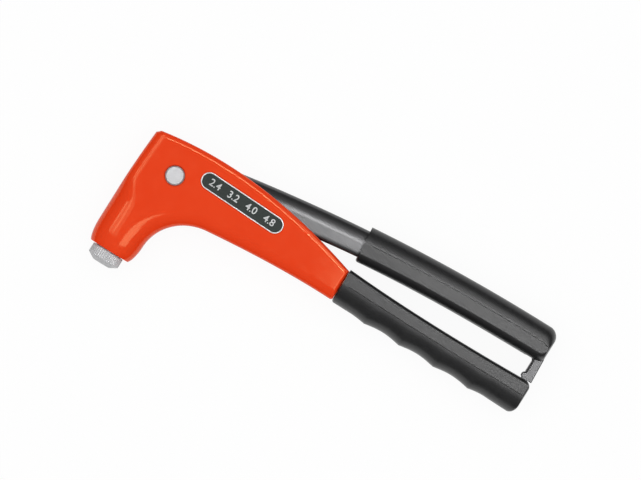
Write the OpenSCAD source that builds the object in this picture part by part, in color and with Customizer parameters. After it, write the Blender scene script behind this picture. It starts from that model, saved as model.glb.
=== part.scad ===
// Hand riveter with a folded steel lever, lying on its side.
// X runs along the fixed handle, Y along the nose axis away from the tip, Z through the thickness.
// The origin is the centre of the nose tip, on the middle plane of the tool.

/* [Body] */
// Thickness of the body casting
body_thick = 24; // [22:0.5:30]
// Thickness of the side walls of the casting
body_wall = 3; // [2.5:0.25:4]
// Distance from the nose axis to the rear end of the casting
body_end = 123.8; // [118:0.1:140]
// Reach of the barrel in front of the nose axis
front_reach = 14.45; // [13:0.05:17]
// Reach of the barrel behind the nose axis
rear_reach = 15.65; // [13:0.05:18]
// Backward lean of the front edge at the top
front_lean = 1.7; // [0:0.1:3]
// Heights of the top edge from the front, as three curve handles before the rear end
body_top = [82.9, 91.3, 85.4]; // [60:0.1:100]
// Heights of the underside of the arm behind the crotch, as two curve handles before the rear end
body_under = [50.8, 52.8]; // [40:0.1:60]
// Height of the rear end of the casting above the tang centre
body_end_rise = 7; // [6:0.1:8]
// Depth of the rear end of the casting below the tang centre
body_end_drop = 12.3; // [11:0.1:13]
// Centre of the crotch curve between barrel and arm
crotch_centre = [45.3, 20.5]; // [10:0.1:60]
// Height of the crotch curve
crotch_rise = 27.5; // [20:0.5:32]
// Rounding along the top edge
top_round = 3.2; // [1:0.1:4]
// Rounding along the front of the head
front_round = 6.5; // [4:0.1:8]
// Rounding under the arm
under_round = 8; // [4:0.1:9]
// Radius of the front top corner
corner_r = 1.8; // [1:0.1:3]
// Rounding along the rear end
end_round = 2.4; // [0.5:0.1:4]
// Radius of the lower corner at the rear end
end_corner = 1.5; // [0.5:0.1:3]

/* [Nosepiece] */
// Length of the nosepiece in front of the body
nose_len = 8.2; // [6:0.1:12]
// Gap between the knurl and the body
nose_gap = 0.5; // [0.2:0.1:1]
// Diameter over the knurl
nose_d = 19.5; // [17:0.1:21]
// Diameter of the flat tip
nose_tip_d = 10.6; // [7:0.1:14]
// Length of the chamfer at the tip
nose_chamfer = 2.6; // [1:0.1:4]
// Number of knurl ridges
knurl_count = 44; // [24:1:60]
// Depth of the knurl
knurl_depth = 0.35; // [0.1:0.05:0.6]
// Diameter of the hole for the rivet mandrel
mandrel_d = 3.3; // [2.4:0.1:4.2]
// Length of the screwed shank inside the body
shank_len = 8.8; // [7:0.1:9]

/* [Pivot] */
// Place of the lever pivot
pivot = [9.8, 65.3]; // [0:0.1:80]
// Diameter of the pivot pin
pin_d = 8; // [6:0.1:9]
// Diameter of the pin head
pin_head_d = 11.2; // [10:0.1:11.6]
// Diameter of the sunk seat around the pin head
pin_seat_d = 12.4; // [11.8:0.1:14]
// Height of the pin ends above the sides of the body
pin_proud = 0.8; // [0.4:0.1:1.5]
// Outer diameter of the retaining clip
clip_d = 11.6; // [10:0.1:12]
// Thickness of the retaining clip
clip_thick = 0.8; // [0.5:0.1:1]

/* [Lever] */
// Distance from the nose axis to the end of the lever
lever_end = 242; // [225:1:260]
// Gap between the lever and each side wall of the body
lever_gap = 0.5; // [0.3:0.1:1]
// Thickness of the lever sheet
sheet = 2.5; // [1.5:0.1:2.5]
// Width of the rounding along the folded top edge
fold_width = 9; // [4:0.1:10]
// Depth of the rounding along the folded top edge
fold_depth = 5.7; // [3:0.1:6]
// Width of the rounding along the lower edge
low_edge_width = 3.4; // [1:0.1:4]
// Depth of the rounding along the lower edge
low_edge_depth = 1.8; // [0.6:0.1:2.2]
// Heights of the top edge of the lever, as four curve handles
lever_top = [83.0, 96.9, 103.7, 103.3]; // [70:0.1:120]
// Heights of the lower edge of the lever outside the body, as four curve handles
lever_under = [77.4, 85.0, 86.9, 87.5]; // [70:0.1:110]
// Diameter of the cheeks around the pivot
lever_boss_d = 14; // [12.5:0.1:14]
// Distance from the pivot to the rounded fork tip
fork_len = 9.8; // [9.4:0.1:10]
// Diameter of the fork tip
fork_tip_d = 8; // [7:0.1:8]
// Width of the fork arm
fork_width = 6; // [4:0.1:6]
// Turn of the lever from closed to open
lever_turn = 30; // [20:1:32]

/* [Grips] */
// Thickness of the lever grip above and below the lever
grip_skin = 2.7; // [2:0.1:4]
// Distance from the nose axis to the mouth of the lever grip, at its top
lever_grip_start = 121.6; // [110:0.1:140]
// Lean of the mouth of the lever grip
lever_grip_lean = 1.6; // [0:0.1:4]
// Length of the lever grip behind the end of the lever
lever_grip_cap = 3.3; // [2.5:0.1:6]
// Radius of the upper corner at the end of the lever grip
lever_grip_corner = 6.5; // [3:0.1:9]
// Length of the fixed grip behind the end of the lever
fixed_grip_end = 4.75; // [0:0.05:20]
// Heights of the top of the fixed grip above the tang centre, as four curve handles
fixed_grip_top = [8.3, 5.9, 6.5, 8.0]; // [5:0.1:10]
// Depth of the hollows under the fixed grip below the tang centre
fixed_grip_depth = 12.6; // [12:0.1:14]
// Extra depth of the plain ends of the fixed grip
fixed_grip_ends = 0.45; // [0:0.05:1.5]
// Depth of the finger ridges
finger_depth = 1.4; // [0.5:0.1:3]
// Distance between the finger ridges
finger_pitch = 23.3; // [18:0.1:26]
// Distance from the nose axis to the first finger ridge
finger_first = 146.8; // [140:0.1:155]
// Number of finger ridges
finger_count = 4; // [2:1:4]
// Radius of the corners at the end of the fixed grip
grip_corner = 4.2; // [2:0.1:6]
// Radius of the lower corners at the mouths of both grips
mouth_corner = 1.5; // [0.5:0.1:1.8]

/* [Tang] */
// Drop of the centre of the round tang below the pivot
tang_drop = 0.7; // [0:0.1:3]
// Outside radius of the tang
tang_r = 9.6; // [8:0.1:10]
// Thickness of the tang wall
tang_wall = 2.5; // [1.5:0.1:3]
// Height of the tang walls above the round centre
tang_lip = 4.4; // [2:0.1:5]
// Length of grip behind the end of the tang
tang_short = 6.75; // [5:0.05:12]

/* [Jaw train] */
// Inside diameter of the guide sleeve in the barrel
sleeve_d = 14.2; // [13:0.1:15]
// Thickness of the guide sleeve
sleeve_wall = 1.8; // [1.2:0.1:2]
// Distance from the tip to the top of the guide sleeve
sleeve_top = 46; // [42:0.5:48]
// Gap between the closed jaw case and the nosepiece shank
jaw_case_lift = 5.4; // [5.3:0.1:6]
// Length of the jaw case
jaw_case_len = 27.1; // [25:0.1:30]
// Half angle of the jaw cone
jaw_angle = 11; // [8:0.5:12]
// Small radius of the jaw cone
jaw_mouth_r = 2.6; // [2.4:0.1:2.8]
// Length of the jaw cone
jaw_cone_len = 12.6; // [12.4:0.1:14]
// Length of a jaw
jaw_len = 12; // [10:0.1:12]
// Radius of the toothed hole between the jaws
jaw_hole_r = 0.9; // [0.5:0.1:1.2]
// Gap between neighbouring jaws
jaw_gap = 0.4; // [0.3:0.1:0.8]
// Outside diameter of the pull tube
tube_d = 11; // [10:0.1:11.2]
// Inside diameter of the pull tube
tube_bore = 7.6; // [7:0.1:8]
// Diameter of the collar that the fork lifts
collar_d = 17; // [15:0.1:17]
// Thickness of the collar
collar_thick = 3.5; // [2:0.1:4]
// Wire diameter of the return spring
wire_d = 1.1; // [0.8:0.1:1.2]
// Number of coils of the return spring
coil_count = 14; // [8:1:18]

/* [Latch] */
// Place of the latch pin, from the end of the lever and the middle of its height
latch_inset = [2.7, 3.0]; // [0:0.1:8]
// Diameter of the latch pin
latch_pin_d = 3.5; // [3:0.1:4]
// Width across the latch
latch_width = 9; // [8:0.1:10]
// Thickness of the latch plate
latch_sheet = 1.5; // [1:0.1:1.6]
// Diameter of the catch pin in the tang
catch_d = 2.9; // [2:0.1:3]
// Distance of the catch pin in front of the latch pin
catch_inset = 3.1; // [2.5:0.1:4]
// Height of the catch pin above the tang centre
catch_rise = 2.1; // [1:0.1:3]
// Height of the latch tips above the tang centre
latch_tip_rise = 7.9; // [7.5:0.1:9]

/* [Badge] */
// Centre of the front round end of the badge
badge_front = [28.35, 73.2]; // [20:0.05:80]
// Centre of the rear round end of the badge
badge_rear = [73.25, 71.75]; // [20:0.05:80]
// Radius of the round ends
badge_r = 5.05; // [3:0.05:6]
// Width of the bright rim
badge_rim = 0.65; // [0.4:0.05:1.5]
// Height of the rim above the body
badge_proud = 0.3; // [0.1:0.05:0.6]
// Depth of the recess for the badge
badge_recess = 0.4; // [0.2:0.05:0.8]

/* [Hidden] */
$fn = 64;

// Clearances: turning and sliding fits, seated pieces, flat stops, inner pieces, and cut overlap
run_gap = 0.05;
seat_gap = 0.02;
stop_gap = 0.15;
inner_gap = 0.3;
over = 1;

// Heights and half thicknesses
half = body_thick / 2;
cavity_half = half - body_wall;
grip_half = half + pin_proud;
lever_half = cavity_half - lever_gap;
channel_half = lever_half - sheet;
nose_end = nose_len + nose_gap;
shank_top = nose_end + shank_len;
tang_height = pivot.y - tang_drop;

// Flat strip that is left along the round barrel, in front of and behind the nose axis
strip_front = 0;
strip_rear = 1;
// Half thickness that is left at the edges of the round grip and of the round barrel
round_edge = 0.4;
barrel_edge = 2.5;
barrel_drop = half - barrel_edge;
// Depths of the roundings along the top edge, along the front of the head and under the arm
top_drop = 2;
front_drop = 4.5;
under_drop = 4.5;
// Radius of the corners of the flat sides
flat_corner = 0.6;
// Step from the front edge back to the start of the top edge
top_step = 1.3;
// Taper of the barrel towards the nose at its front and rear, its length, and its start over the crotch
front_taper = 3.5;
rear_taper = 4.1;
taper_len = 13.5;
taper_lift = 1;
// Narrowing and sinking of the flat strip towards the nose
strip_taper = 0.3;
strip_sink = 2.2;
// Heights at which the barrel is fully round and the head is fully flat, and where the front starts to lean
round_to = 36;
flat_from = 54;
lean_from = 33;
lean_stop = 2.1;
lean_to = body_top[0] - lean_stop;
// Part of the crotch curve, in degrees from the barrel
crotch_sweep = 82.5;
crotch_reach = crotch_centre.x - rear_reach;
crotch_flat = [crotch_centre.x - strip_rear, crotch_rise + under_round];
// Number of steps of the rounded edges and along the long edges
edge_steps = 5;
long_steps = 18;
arc_steps = 16;

// Lever: start of the folded channel, and where its web and its curved underside begin
channel_start = 22;
web_start = 24;
under_start = 96;
channel_root = 62;
// Inside of the fold: height of its narrower top and narrowing on each side
fold_inner = [3, 2];
// Small round along the edges of the fork, and where the cheeks leave the boss, in degrees
sheet_edge = 0.6;
boss_foot = 290;
boss_brow = 120;
pin_r = pin_d / 2;
lever_boss_r = lever_boss_d / 2;
tip_r = fork_tip_d / 2;
fork_angle = 180 - lever_turn / 2;
fork_tip = pivot + fork_len * [cos(fork_angle), sin(fork_angle)];
stroke = 2 * fork_len * sin(lever_turn / 2);

// Head cavity: walls in front, above, below and behind it, and the rear ends of its roof and floor
front_wall = 4;
roof_wall = 1.4;
floor_wall = 4.5;
end_wall = 5.8;
roof_end = 8.5;
cavity_step = 26;
cavity_front = -front_reach + front_wall;
cavity_floor = sleeve_top;
roof_under = body_top[0] - roof_wall;
// Pin: depth of the seat of its head, and place and depth of the groove for the clip
pin_seat_depth = 1.2;
pin_chamfer = 0.7;
clip_inset = 0.4;
clip_room = 0.5;
groove_depth = 0.6;
groove_low = -half + clip_inset;
groove_r = pin_d / 2 - groove_depth;

// Jaw train along the nose axis
sleeve_r = sleeve_d / 2;
sleeve_outer = sleeve_r + sleeve_wall;
case_r = sleeve_r - 2 * run_gap;
case_bottom = shank_top + jaw_case_lift;
case_top = case_bottom + jaw_case_len;
cone_top = case_bottom + jaw_cone_len;
cone_top_r = jaw_mouth_r + jaw_cone_len * tan(jaw_angle);
chamber_r = cone_top_r + run_gap;
collar_under = fork_tip.y + tip_r + stop_gap;
collar_top = collar_under + collar_thick;
collar_room = 0.6;
collar_flat = pivot.x - lever_boss_r - collar_room;
tube_r = tube_d / 2;
tube_bore_r = tube_bore / 2;
spigot_len = 8;
spigot_r = chamber_r - run_gap;
jaw_show = 1.4;
jaw_bottom = case_bottom - jaw_show;
jaw_top = jaw_bottom + jaw_len;
pusher_head = 4.35;
pusher_bottom = jaw_top + stop_gap;
pusher_head_r = jaw_mouth_r + (pusher_bottom - case_bottom) * tan(jaw_angle) - inner_gap;
pusher_top = sleeve_top;
pusher_stem_r = tube_bore_r - inner_gap;
seat_thick = 1.5;
seat_spigot = 4;
seat_rim = 0.5;
seat_under = roof_under - seat_thick;

// Return spring
wire_r = wire_d / 2;
coil_r = tube_bore_r - inner_gap - wire_r;
spring_low = pusher_top + wire_r;
spring_high = seat_under - wire_r;
coil_rings = 8;
coil_sides = 6;

// Latch
latch_pin_at = [lever_end - latch_inset.x, (lever_top[3] + lever_under[3]) / 2 - latch_inset.y];
catch_at = [latch_pin_at.x - catch_inset, tang_height + catch_rise];
catch_offset = catch_at - latch_pin_at;
latch_pin_r = latch_pin_d / 2;
catch_r = catch_d / 2;
latch_half = latch_width / 2;
latch_gap = 0.7;
slot_half = latch_half + latch_gap;
tooth_gap = 0.45;
tooth_len = 3;
// Room for the latch in the lever grip in front of and above its pin, and height of the latch web
latch_room = [4.5, 6];
latch_web = [-16.5, -8.5];

// Fixed handle: gap in front of its grip, depth of its flat sides below the top, bow of its seam
grip_gap = 0.2;
fixed_grip_inset = 2;
seam_bow = 0.5;
fixed_grip_start = body_end + grip_gap;
fixed_grip_stop = lever_end + fixed_grip_end;
tang_end = fixed_grip_stop - tang_short;

// Point between two values
function between(low, high, t) = low + (high - low) * t;
// Height on a curve with four handles
function curve(handles, t) =
    handles[0] * pow(1 - t, 3) + 3 * handles[1] * t * pow(1 - t, 2)
    + 3 * handles[2] * t * t * (1 - t) + handles[3] * pow(t, 3);
// Soft step from 0 to 1
function soft(t) =
    let (s = min(1, max(0, t)))
    s * s * (3 - 2 * s);
// Points along an arc about a centre
function arc(centre, r, from, to, steps) =
    [for (k = [0:steps])
        let (turn = between(from, to, k / steps))
        centre + r * [cos(turn), sin(turn)]];
// List in the opposite order, and list without its last entry
function reverse(list) = [for (k = [len(list) - 1:-1:0]) list[k]];
function all_but_last(list) = [for (k = [0:len(list) - 2]) list[k]];
// One place on a rounded rim: outer point, point where the flat side begins, depth of the rounding,
// and sinking of the flat side
function rim(outer, flat, drop, sink = 0) = [outer, flat, drop, sink];

// Edges of the body
top_start = -front_reach + front_lean + top_step;
crotch_end = crotch_centre + [-crotch_reach * cos(crotch_sweep), crotch_rise * sin(crotch_sweep)];
body_top_handles = concat(body_top, [tang_height + body_end_rise]);
body_under_handles = concat([crotch_end.y], body_under, [tang_height - body_end_drop]);
function body_top_at(x) = curve(body_top_handles, (x - top_start) / (body_end - top_start));
function body_under_at(x) = curve(body_under_handles, (x - crotch_end.x) / (body_end - crotch_end.x));
function front_at(y) =
    -front_reach + front_lean * pow(max(0, y - lean_from) / (lean_to - lean_from), 2);

// Rounded rims of the body, counterclockwise from the nose end
function body_rims() =
    let (taper_y = crotch_centre.y + taper_lift)
    let (nose_turn = asin((taper_y - nose_end) / taper_len))
    let (front_flat_x = front_at(body_top[0]) + front_round)
    let (front_flat_y = body_top_at(front_flat_x) - top_round - flat_corner)
    let (front_top_y = body_top[0] - corner_r)
    let (end_x = body_end - end_corner)
    let (end_flat_x = body_end - end_round - flat_corner)
    concat(
        [for (k = [0:4])
            let (turn = nose_turn * (1 - k / 4))
            let (draw_in = 1 - cos(turn))
            let (y = taper_y - taper_len * sin(turn))
            rim([rear_reach - rear_taper * draw_in, y], [strip_rear - strip_taper * draw_in, y],
                barrel_drop - strip_sink * draw_in, strip_sink * draw_in)],
        [for (k = [1:12])
            let (turn = crotch_sweep * k / 12)
            rim(crotch_centre + [-crotch_reach * cos(turn), crotch_rise * sin(turn)],
                crotch_centre + [-crotch_flat.x * cos(turn), crotch_flat.y * sin(turn)],
                between(barrel_drop, under_drop, sin(turn)))],
        [for (k = [1:10])
            let (x = between(crotch_end.x, end_x, k / 10))
            let (start_shift = (crotch_reach - crotch_flat.x) * cos(crotch_sweep))
            let (shift = between(start_shift, end_flat_x - end_x, k / 10))
            rim([x, body_under_at(x)], [x + shift, body_under_at(x) + under_round], under_drop)],
        [for (k = [1:3])
            let (turn = 90 * k / 3)
            rim([end_x, body_under_at(end_x)] + end_corner * [sin(turn), 1 - cos(turn)],
                [end_flat_x, body_under_at(end_x) + under_round] + flat_corner * [sin(turn), 1 - cos(turn)],
                under_drop)],
        [for (k = [0:long_steps])
            let (x = between(body_end, top_start + corner_r, k / long_steps))
            let (flat_x = between(body_end - end_round, front_flat_x + flat_corner, k / long_steps))
            rim([x, body_top_at(x)], [flat_x, body_top_at(flat_x) - top_round], top_drop)],
        [for (k = [1:3])
            let (turn = 90 + 70 * k / 4)
            let (centre = [top_start + corner_r, body_top_at(top_start + corner_r) - corner_r])
            rim(centre + corner_r * [cos(turn), sin(turn)],
                [front_flat_x + flat_corner, body_top_at(front_flat_x) - top_round]
                    + flat_corner * [cos(turn), sin(turn) - 1],
                between(top_drop, front_drop, k / 4))],
        [for (k = [0:14])
            let (y = between(front_top_y, taper_y, k / 14))
            let (flat_y = between(front_flat_y, taper_y, k / 14))
            let (roundness = soft((flat_from - flat_y) / (flat_from - round_to)))
            rim([front_at(y), y],
                [between(front_at(flat_y) + front_round, strip_front, roundness), flat_y],
                between(front_drop, barrel_drop, roundness))],
        [for (k = [1:4])
            let (turn = nose_turn * k / 4)
            let (draw_in = 1 - cos(turn))
            let (y = taper_y - taper_len * sin(turn))
            rim([-front_reach + front_taper * draw_in, y], [strip_front + strip_taper * draw_in, y],
                barrel_drop - strip_sink * draw_in, strip_sink * draw_in)]
    );

// Edges of the lever
function lever_top_at(x) = curve(lever_top, (x - channel_start) / (lever_end - channel_start));
function lever_under_at(x) =
    x < under_start
    ? between(channel_root, lever_under[0], (x - channel_start) / (under_start - channel_start))
    : curve(lever_under, (x - under_start) / (lever_end - under_start));
lever_xs = concat([channel_start + 8], [for (k = [0:long_steps - 4])
    between(under_start, lever_end, k / (long_steps - 4))]);

// Cheek around the pivot, as points drawn in from its edge: below the boss, above it, and the fork
function boss_turn(inset) = asin((fork_width / 2 - inset) / (lever_boss_r - inset));
function tip_turn(inset) = 180 - asin((fork_width / 2 - inset) / (tip_r - inset));
function boss_below(inset) =
    arc(pivot, lever_boss_r - inset, fork_angle + boss_turn(inset), boss_foot, 6);
function boss_above(inset) =
    arc(pivot, lever_boss_r - inset, boss_brow, fork_angle - boss_turn(inset), 2);
function fork_above(inset) =
    all_but_last(arc(fork_tip, tip_r - inset, fork_angle - tip_turn(inset), fork_angle, 6));
function fork_below(inset) =
    arc(fork_tip, tip_r - inset, fork_angle, fork_angle + tip_turn(inset), 6);
function paired_rims(outer, flat, drop) = [for (k = [0:len(outer) - 1]) rim(outer[k], flat[k], drop)];

// Rounded rims of the folded lever, from the end of the fork along its lower edge and back on top
function lever_rims() = concat(
    paired_rims(fork_below(0), fork_below(sheet_edge), sheet_edge),
    paired_rims(boss_below(0), boss_below(sheet_edge), sheet_edge),
    [for (x = lever_xs)
        rim([x, lever_under_at(x)], [x, lever_under_at(x) + low_edge_width], low_edge_depth)],
    [for (k = [0:long_steps])
        let (x = between(lever_end, channel_start, k / long_steps))
        rim([x, lever_top_at(x)], [x, lever_top_at(x) - fold_width], fold_depth)],
    paired_rims(boss_above(0), boss_above(sheet_edge), sheet_edge),
    paired_rims(fork_above(0), fork_above(sheet_edge), sheet_edge));

// Rounded rims of the lever grip, with a leaning mouth and rounded corners at its end
lever_grip_end = lever_end + lever_grip_cap;
// Rounding of the lower end corner of the lever grip, along and across it
heel_cut = [5.8, 3];
// Drawing in of its flat sides from the top, the underside and the end, and at the end corner
lever_grip_inset = [10.2, 5.5, 1.6];
lever_grip_fall = 2;
// Depth of its rounding along the top and along the underside
lever_grip_round = [9.5, 11];
// Depth of the rounding along the flat edges of the fixed grip, and drawing in of its sides from the end
grip_edge = 4;
fixed_grip_end_inset = 1.2;
// Height of the lower end corner of the fixed grip, as a share of its radius
grip_heel = 1.5;
function lever_grip_rims() =
    let (mouth_top = lever_top_at(lever_grip_start) + grip_skin)
    let (mouth_x = lever_grip_start + lever_grip_lean)
    let (mouth_under = lever_under_at(mouth_x) - grip_skin)
    let (top_inset = lever_grip_inset[0])
    let (under_inset = lever_grip_inset[1])
    let (end_inset = lever_grip_inset[2])
    let (cut_x = lever_grip_end - heel_cut.x)
    let (top_x = lever_grip_end - lever_grip_corner)
    let (top_y = lever_top_at(lever_end) + grip_skin - lever_grip_corner)
    let (mouth_slope = lever_grip_lean / (mouth_top - mouth_under))
    concat(
        [for (k = [0:2])
            let (turn = 90 * k / 3)
            let (rise = 1 - sin(turn))
            let (x = mouth_x + mouth_corner * (1 - cos(turn)))
            rim([x - mouth_corner * mouth_slope * rise, lever_under_at(x) - grip_skin + mouth_corner * rise],
                [mouth_x - under_inset * mouth_slope, mouth_under + under_inset]
                    + flat_corner * [1 - cos(turn), rise],
                lever_grip_round[1])],
        [for (k = [0:12])
            let (x = between(mouth_x + mouth_corner, cut_x, k / 12))
            let (y = lever_under_at(min(x, lever_end)) - grip_skin)
            let (shift = -under_inset * mouth_slope * (1 - k / 12))
            rim([x, y], [x + shift, y + under_inset], lever_grip_round[1])],
        [for (k = [1:3])
            let (turn = 90 * k / 3)
            let (y = lever_under_at(cut_x) - grip_skin)
            rim([between(cut_x, lever_grip_end, sin(turn)), y + heel_cut.y * (1 - cos(turn))],
                [between(cut_x, lever_grip_end - end_inset, sin(turn)),
                 y + under_inset + heel_cut.y * (1 - cos(turn))],
                lever_grip_round[1])],
        [for (k = [0:6])
            let (turn = 90 * k / 6)
            rim([top_x, top_y] + lever_grip_corner * [cos(turn), sin(turn)],
                [top_x - end_inset + lever_grip_corner * cos(turn),
                 top_y + lever_grip_corner - top_inset - lever_grip_fall * (1 - sin(turn))],
                between(lever_grip_round[1], lever_grip_round[0], sin(turn)))],
        [for (k = [1:12])
            let (x = between(top_x, lever_grip_start, k / 12))
            let (y = lever_top_at(x) + grip_skin)
            let (shift = between(-end_inset, top_inset * mouth_slope, k / 12))
            rim([x, y], [x + shift, y - top_inset], lever_grip_round[0])]
    );

// Underside of the fixed grip, with ridges between the fingers
finger_hollow = tang_height - fixed_grip_depth;
finger_from = finger_first - finger_pitch / 2;
finger_to = finger_from + finger_count * finger_pitch;
// Length over which the plain ends run into the hollows
end_blend = 14;
function ridge_at(x) =
    x < finger_from || x > finger_to
    ? 0
    : finger_depth * (1 - abs(sin(180 * (x - finger_first) / finger_pitch)));
function plain_end_at(x) =
    fixed_grip_ends * (soft((finger_from - x) / end_blend + 1) + soft((x - finger_to) / end_blend + 0.5));
function finger_under_at(x) = finger_hollow - ridge_at(x) - plain_end_at(x);
function fixed_top_at(x) =
    tang_height + curve(fixed_grip_top, (x - fixed_grip_start) / (fixed_grip_stop - fixed_grip_start));
finger_steps = 8;
fixed_grip_xs = [fixed_grip_start, fixed_grip_stop - grip_corner];
finger_xs = concat(
    [fixed_grip_xs[0] + mouth_corner],
    [for (k = [0:finger_count * finger_steps])
        let (x = between(finger_from, finger_to, k / (finger_count * finger_steps)))
        if (x > fixed_grip_xs[0] + mouth_corner + over && x < fixed_grip_xs[1] - over) x],
    [fixed_grip_xs[1]]);

// Rounded rims of the fixed grip, half round below and flat sided above
function fixed_grip_rims() =
    let (round_drop = grip_half - round_edge)
    let (end_x = fixed_grip_xs[1])
    let (end_flat_x = fixed_grip_stop - fixed_grip_end_inset - flat_corner)
    let (end_top = fixed_top_at(end_x))
    concat(
        [for (k = [0:2])
            let (turn = 90 * k / 3)
            let (rise = 1 - sin(turn))
            let (x = fixed_grip_start + mouth_corner * (1 - cos(turn)))
            rim([x, finger_under_at(x) + mouth_corner * rise],
                [fixed_grip_start, tang_height] + flat_corner * [1 - cos(turn), rise], round_drop)],
        [for (x = finger_xs)
            let (t = (x - fixed_grip_start) / (end_x - fixed_grip_start))
            rim([x, finger_under_at(x)],
                [between(fixed_grip_start, end_flat_x, t), tang_height - seam_bow * sin(180 * t)],
                round_drop)],
        [for (k = [1:4])
            let (turn = 90 * k / 4)
            rim([end_x + grip_corner * sin(turn),
                 finger_under_at(end_x) + grip_heel * grip_corner * (1 - cos(turn))],
                [end_flat_x, tang_height] + flat_corner * [sin(turn), 1 - cos(turn)],
                between(round_drop, grip_edge, soft(k / 4)))],
        [for (k = [0:4])
            let (turn = 90 * k / 4)
            rim([end_x, end_top - grip_corner] + grip_corner * [cos(turn), sin(turn)],
                [end_flat_x, end_top - fixed_grip_inset - flat_corner]
                    + flat_corner * [cos(turn), sin(turn)],
                grip_edge)],
        [for (k = [1:12])
            let (x = between(end_x, fixed_grip_start, k / 12))
            let (flat_x = between(end_flat_x, fixed_grip_start, k / 12))
            rim([x, fixed_top_at(x)], [flat_x, fixed_top_at(flat_x) - fixed_grip_inset], grip_edge)]
    );

// Triangles that fill an outline, laid like rungs between its first and its last point
function rungs(outline, low, high) =
    low + 1 >= high
    ? []
    : norm(outline[low + 1] - outline[high]) <= norm(outline[low] - outline[high - 1])
    ? concat([[low, low + 1, high]], rungs(outline, low + 1, high))
    : concat([[low, high - 1, high]], rungs(outline, low, high - 1));

// Solid with flat sides and rounded rims
module pillow(rims, thickness) {
    count = len(rims);
    flat_side = rungs([for (r = rims) r[1]], 0, count - 1);
    levels = concat(
        [for (k = [edge_steps:-1:0]) [-1, 90 * k / edge_steps]],
        [for (k = [0:edge_steps]) [1, 90 * k / edge_steps]]);
    places = [for (level = levels)
        for (r = rims)
            let (p = r[1] + (r[0] - r[1]) * cos(level[1]))
            [p.x, p.y, level[0] * (thickness - r[3] - r[2] * (1 - sin(level[1])))]];
    last = (len(levels) - 1) * count;
    sides = [for (j = [0:len(levels) - 2])
        for (i = [0:count - 1])
            let (a = j * count + i)
            let (b = j * count + (i + 1) % count)
            each [[a, b + count, b], [a, a + count, b + count]]];
    polyhedron(
        points = places,
        faces = concat(
            flat_side,
            [for (t = flat_side) [last + t[2], last + t[1], last + t[0]]],
            sides),
        convexity = 8);
}

// Cylinder along the nose axis between two heights
module along_nose(low, high, r) {
    translate([0, low, 0])
        rotate([-90, 0, 0])
            cylinder(h = high - low, r = r);
}

// Cylinder along Z at a place, between two heights
module along_z(place, low, high, r) {
    translate([place.x, place.y, low])
        cylinder(h = high - low, r = r);
}

// Flat plate between two heights
module plate(low, high) {
    translate([0, 0, low])
        linear_extrude(high - low)
            children();
}

// Pair of plates on both sides of the middle plane
module plate_pair(inner, outer) {
    plate(inner, outer) children();
    plate(-outer, -inner) children();
}

// Bar with round ends between two places
module capsule(front, rear, r) {
    lean = atan2(rear.y - front.y, rear.x - front.x);
    polygon(concat(
        arc(front, r, lean + 90, lean + 270, arc_steps),
        arc(rear, r, lean - 90, lean + 90, arc_steps)));
}

// Half round with straight sides above it, as points seen along X, open upwards
function half_round(r, lip) = concat(
    [[lip, -r]],
    [for (k = [0:arc_steps]) r * [-sin(180 * k / arc_steps), -cos(180 * k / arc_steps)]],
    [[lip, r]]);

// Run of an outline along X, centred on the height of the tang
module tang_run(from, to) {
    translate([from, tang_height, 0])
        rotate([90, 0, 90])
            linear_extrude(to - from)
                children();
}

// Outline of the hollow in the head and arm of the body
module cavity_outline() {
    arm_stop = body_end - end_wall;
    above = max(body_top) + 2 * over;
    polygon(concat(
        [[cavity_front, cavity_floor], [cavity_step, cavity_floor]],
        [for (k = [0:8])
            let (x = between(crotch_end.x, arm_stop, k / 8))
            [x, body_under_at(x) + floor_wall]],
        [[arm_stop, above], [roof_end, above], [roof_end, roof_under], [cavity_front, roof_under]]));
}

module body() {
    clip_seat_depth = clip_thick + clip_inset;
    color([0.88, 0.26, 0.12])
    difference() {
        union() {
            difference() {
                pillow(body_rims(), half);
                plate(-cavity_half, cavity_half)
                    cavity_outline();
            }
            tang_run(body_end - end_wall / 2, tang_end)
                polygon(concat(
                    half_round(tang_r, tang_lip),
                    reverse(half_round(tang_r - tang_wall, tang_lip))));
        }
        along_nose(nose_end - over, cavity_floor + over, sleeve_outer + seat_gap);
        along_z(pivot, -half - over, half + over, pin_r + seat_gap);
        along_z(pivot, half - pin_seat_depth, half + over, pin_seat_d / 2);
        along_z(pivot, -half - over, -half + clip_seat_depth, clip_d / 2 + clip_room);
        along_z(catch_at, -tang_r - over, tang_r + over, catch_r + seat_gap);
        plate(half - badge_recess, half + over)
            capsule(badge_front, badge_rear, badge_r + seat_gap);
    }
}

module nosepiece() {
    ridge_r = nose_d / 2;
    neck_r = sleeve_r + sleeve_wall / 2;
    chamfer_slope = nose_chamfer / (ridge_r - nose_tip_d / 2);
    color([0.75, 0.76, 0.77])
    difference() {
        union() {
            intersection() {
                rotate([-90, 0, 0])
                    rotate_extrude()
                        polygon([
                            [0, 0], [nose_tip_d / 2, 0],
                            [ridge_r + over, nose_chamfer + over * chamfer_slope],
                            [ridge_r + over, nose_len + over], [0, nose_len + over]]);
                translate([0, -over, 0])
                    rotate([-90, 0, 0])
                        linear_extrude(nose_len + over)
                            polygon([for (k = [0:2 * knurl_count - 1])
                                let (r = ridge_r - (k % 2) * knurl_depth)
                                r * [cos(180 * k / knurl_count), sin(180 * k / knurl_count)]]);
            }
            along_nose(nose_len - over, nose_end, neck_r);
            along_nose(nose_len - over, shank_top, sleeve_r - run_gap);
        }
        along_nose(-over, shank_top + over, mandrel_d / 2);
    }
}

module barrel_sleeve() {
    color([0.6, 0.6, 0.62])
    difference() {
        along_nose(nose_end, sleeve_top, sleeve_outer);
        along_nose(nose_end - over, sleeve_top + over, sleeve_r);
    }
}

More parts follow.
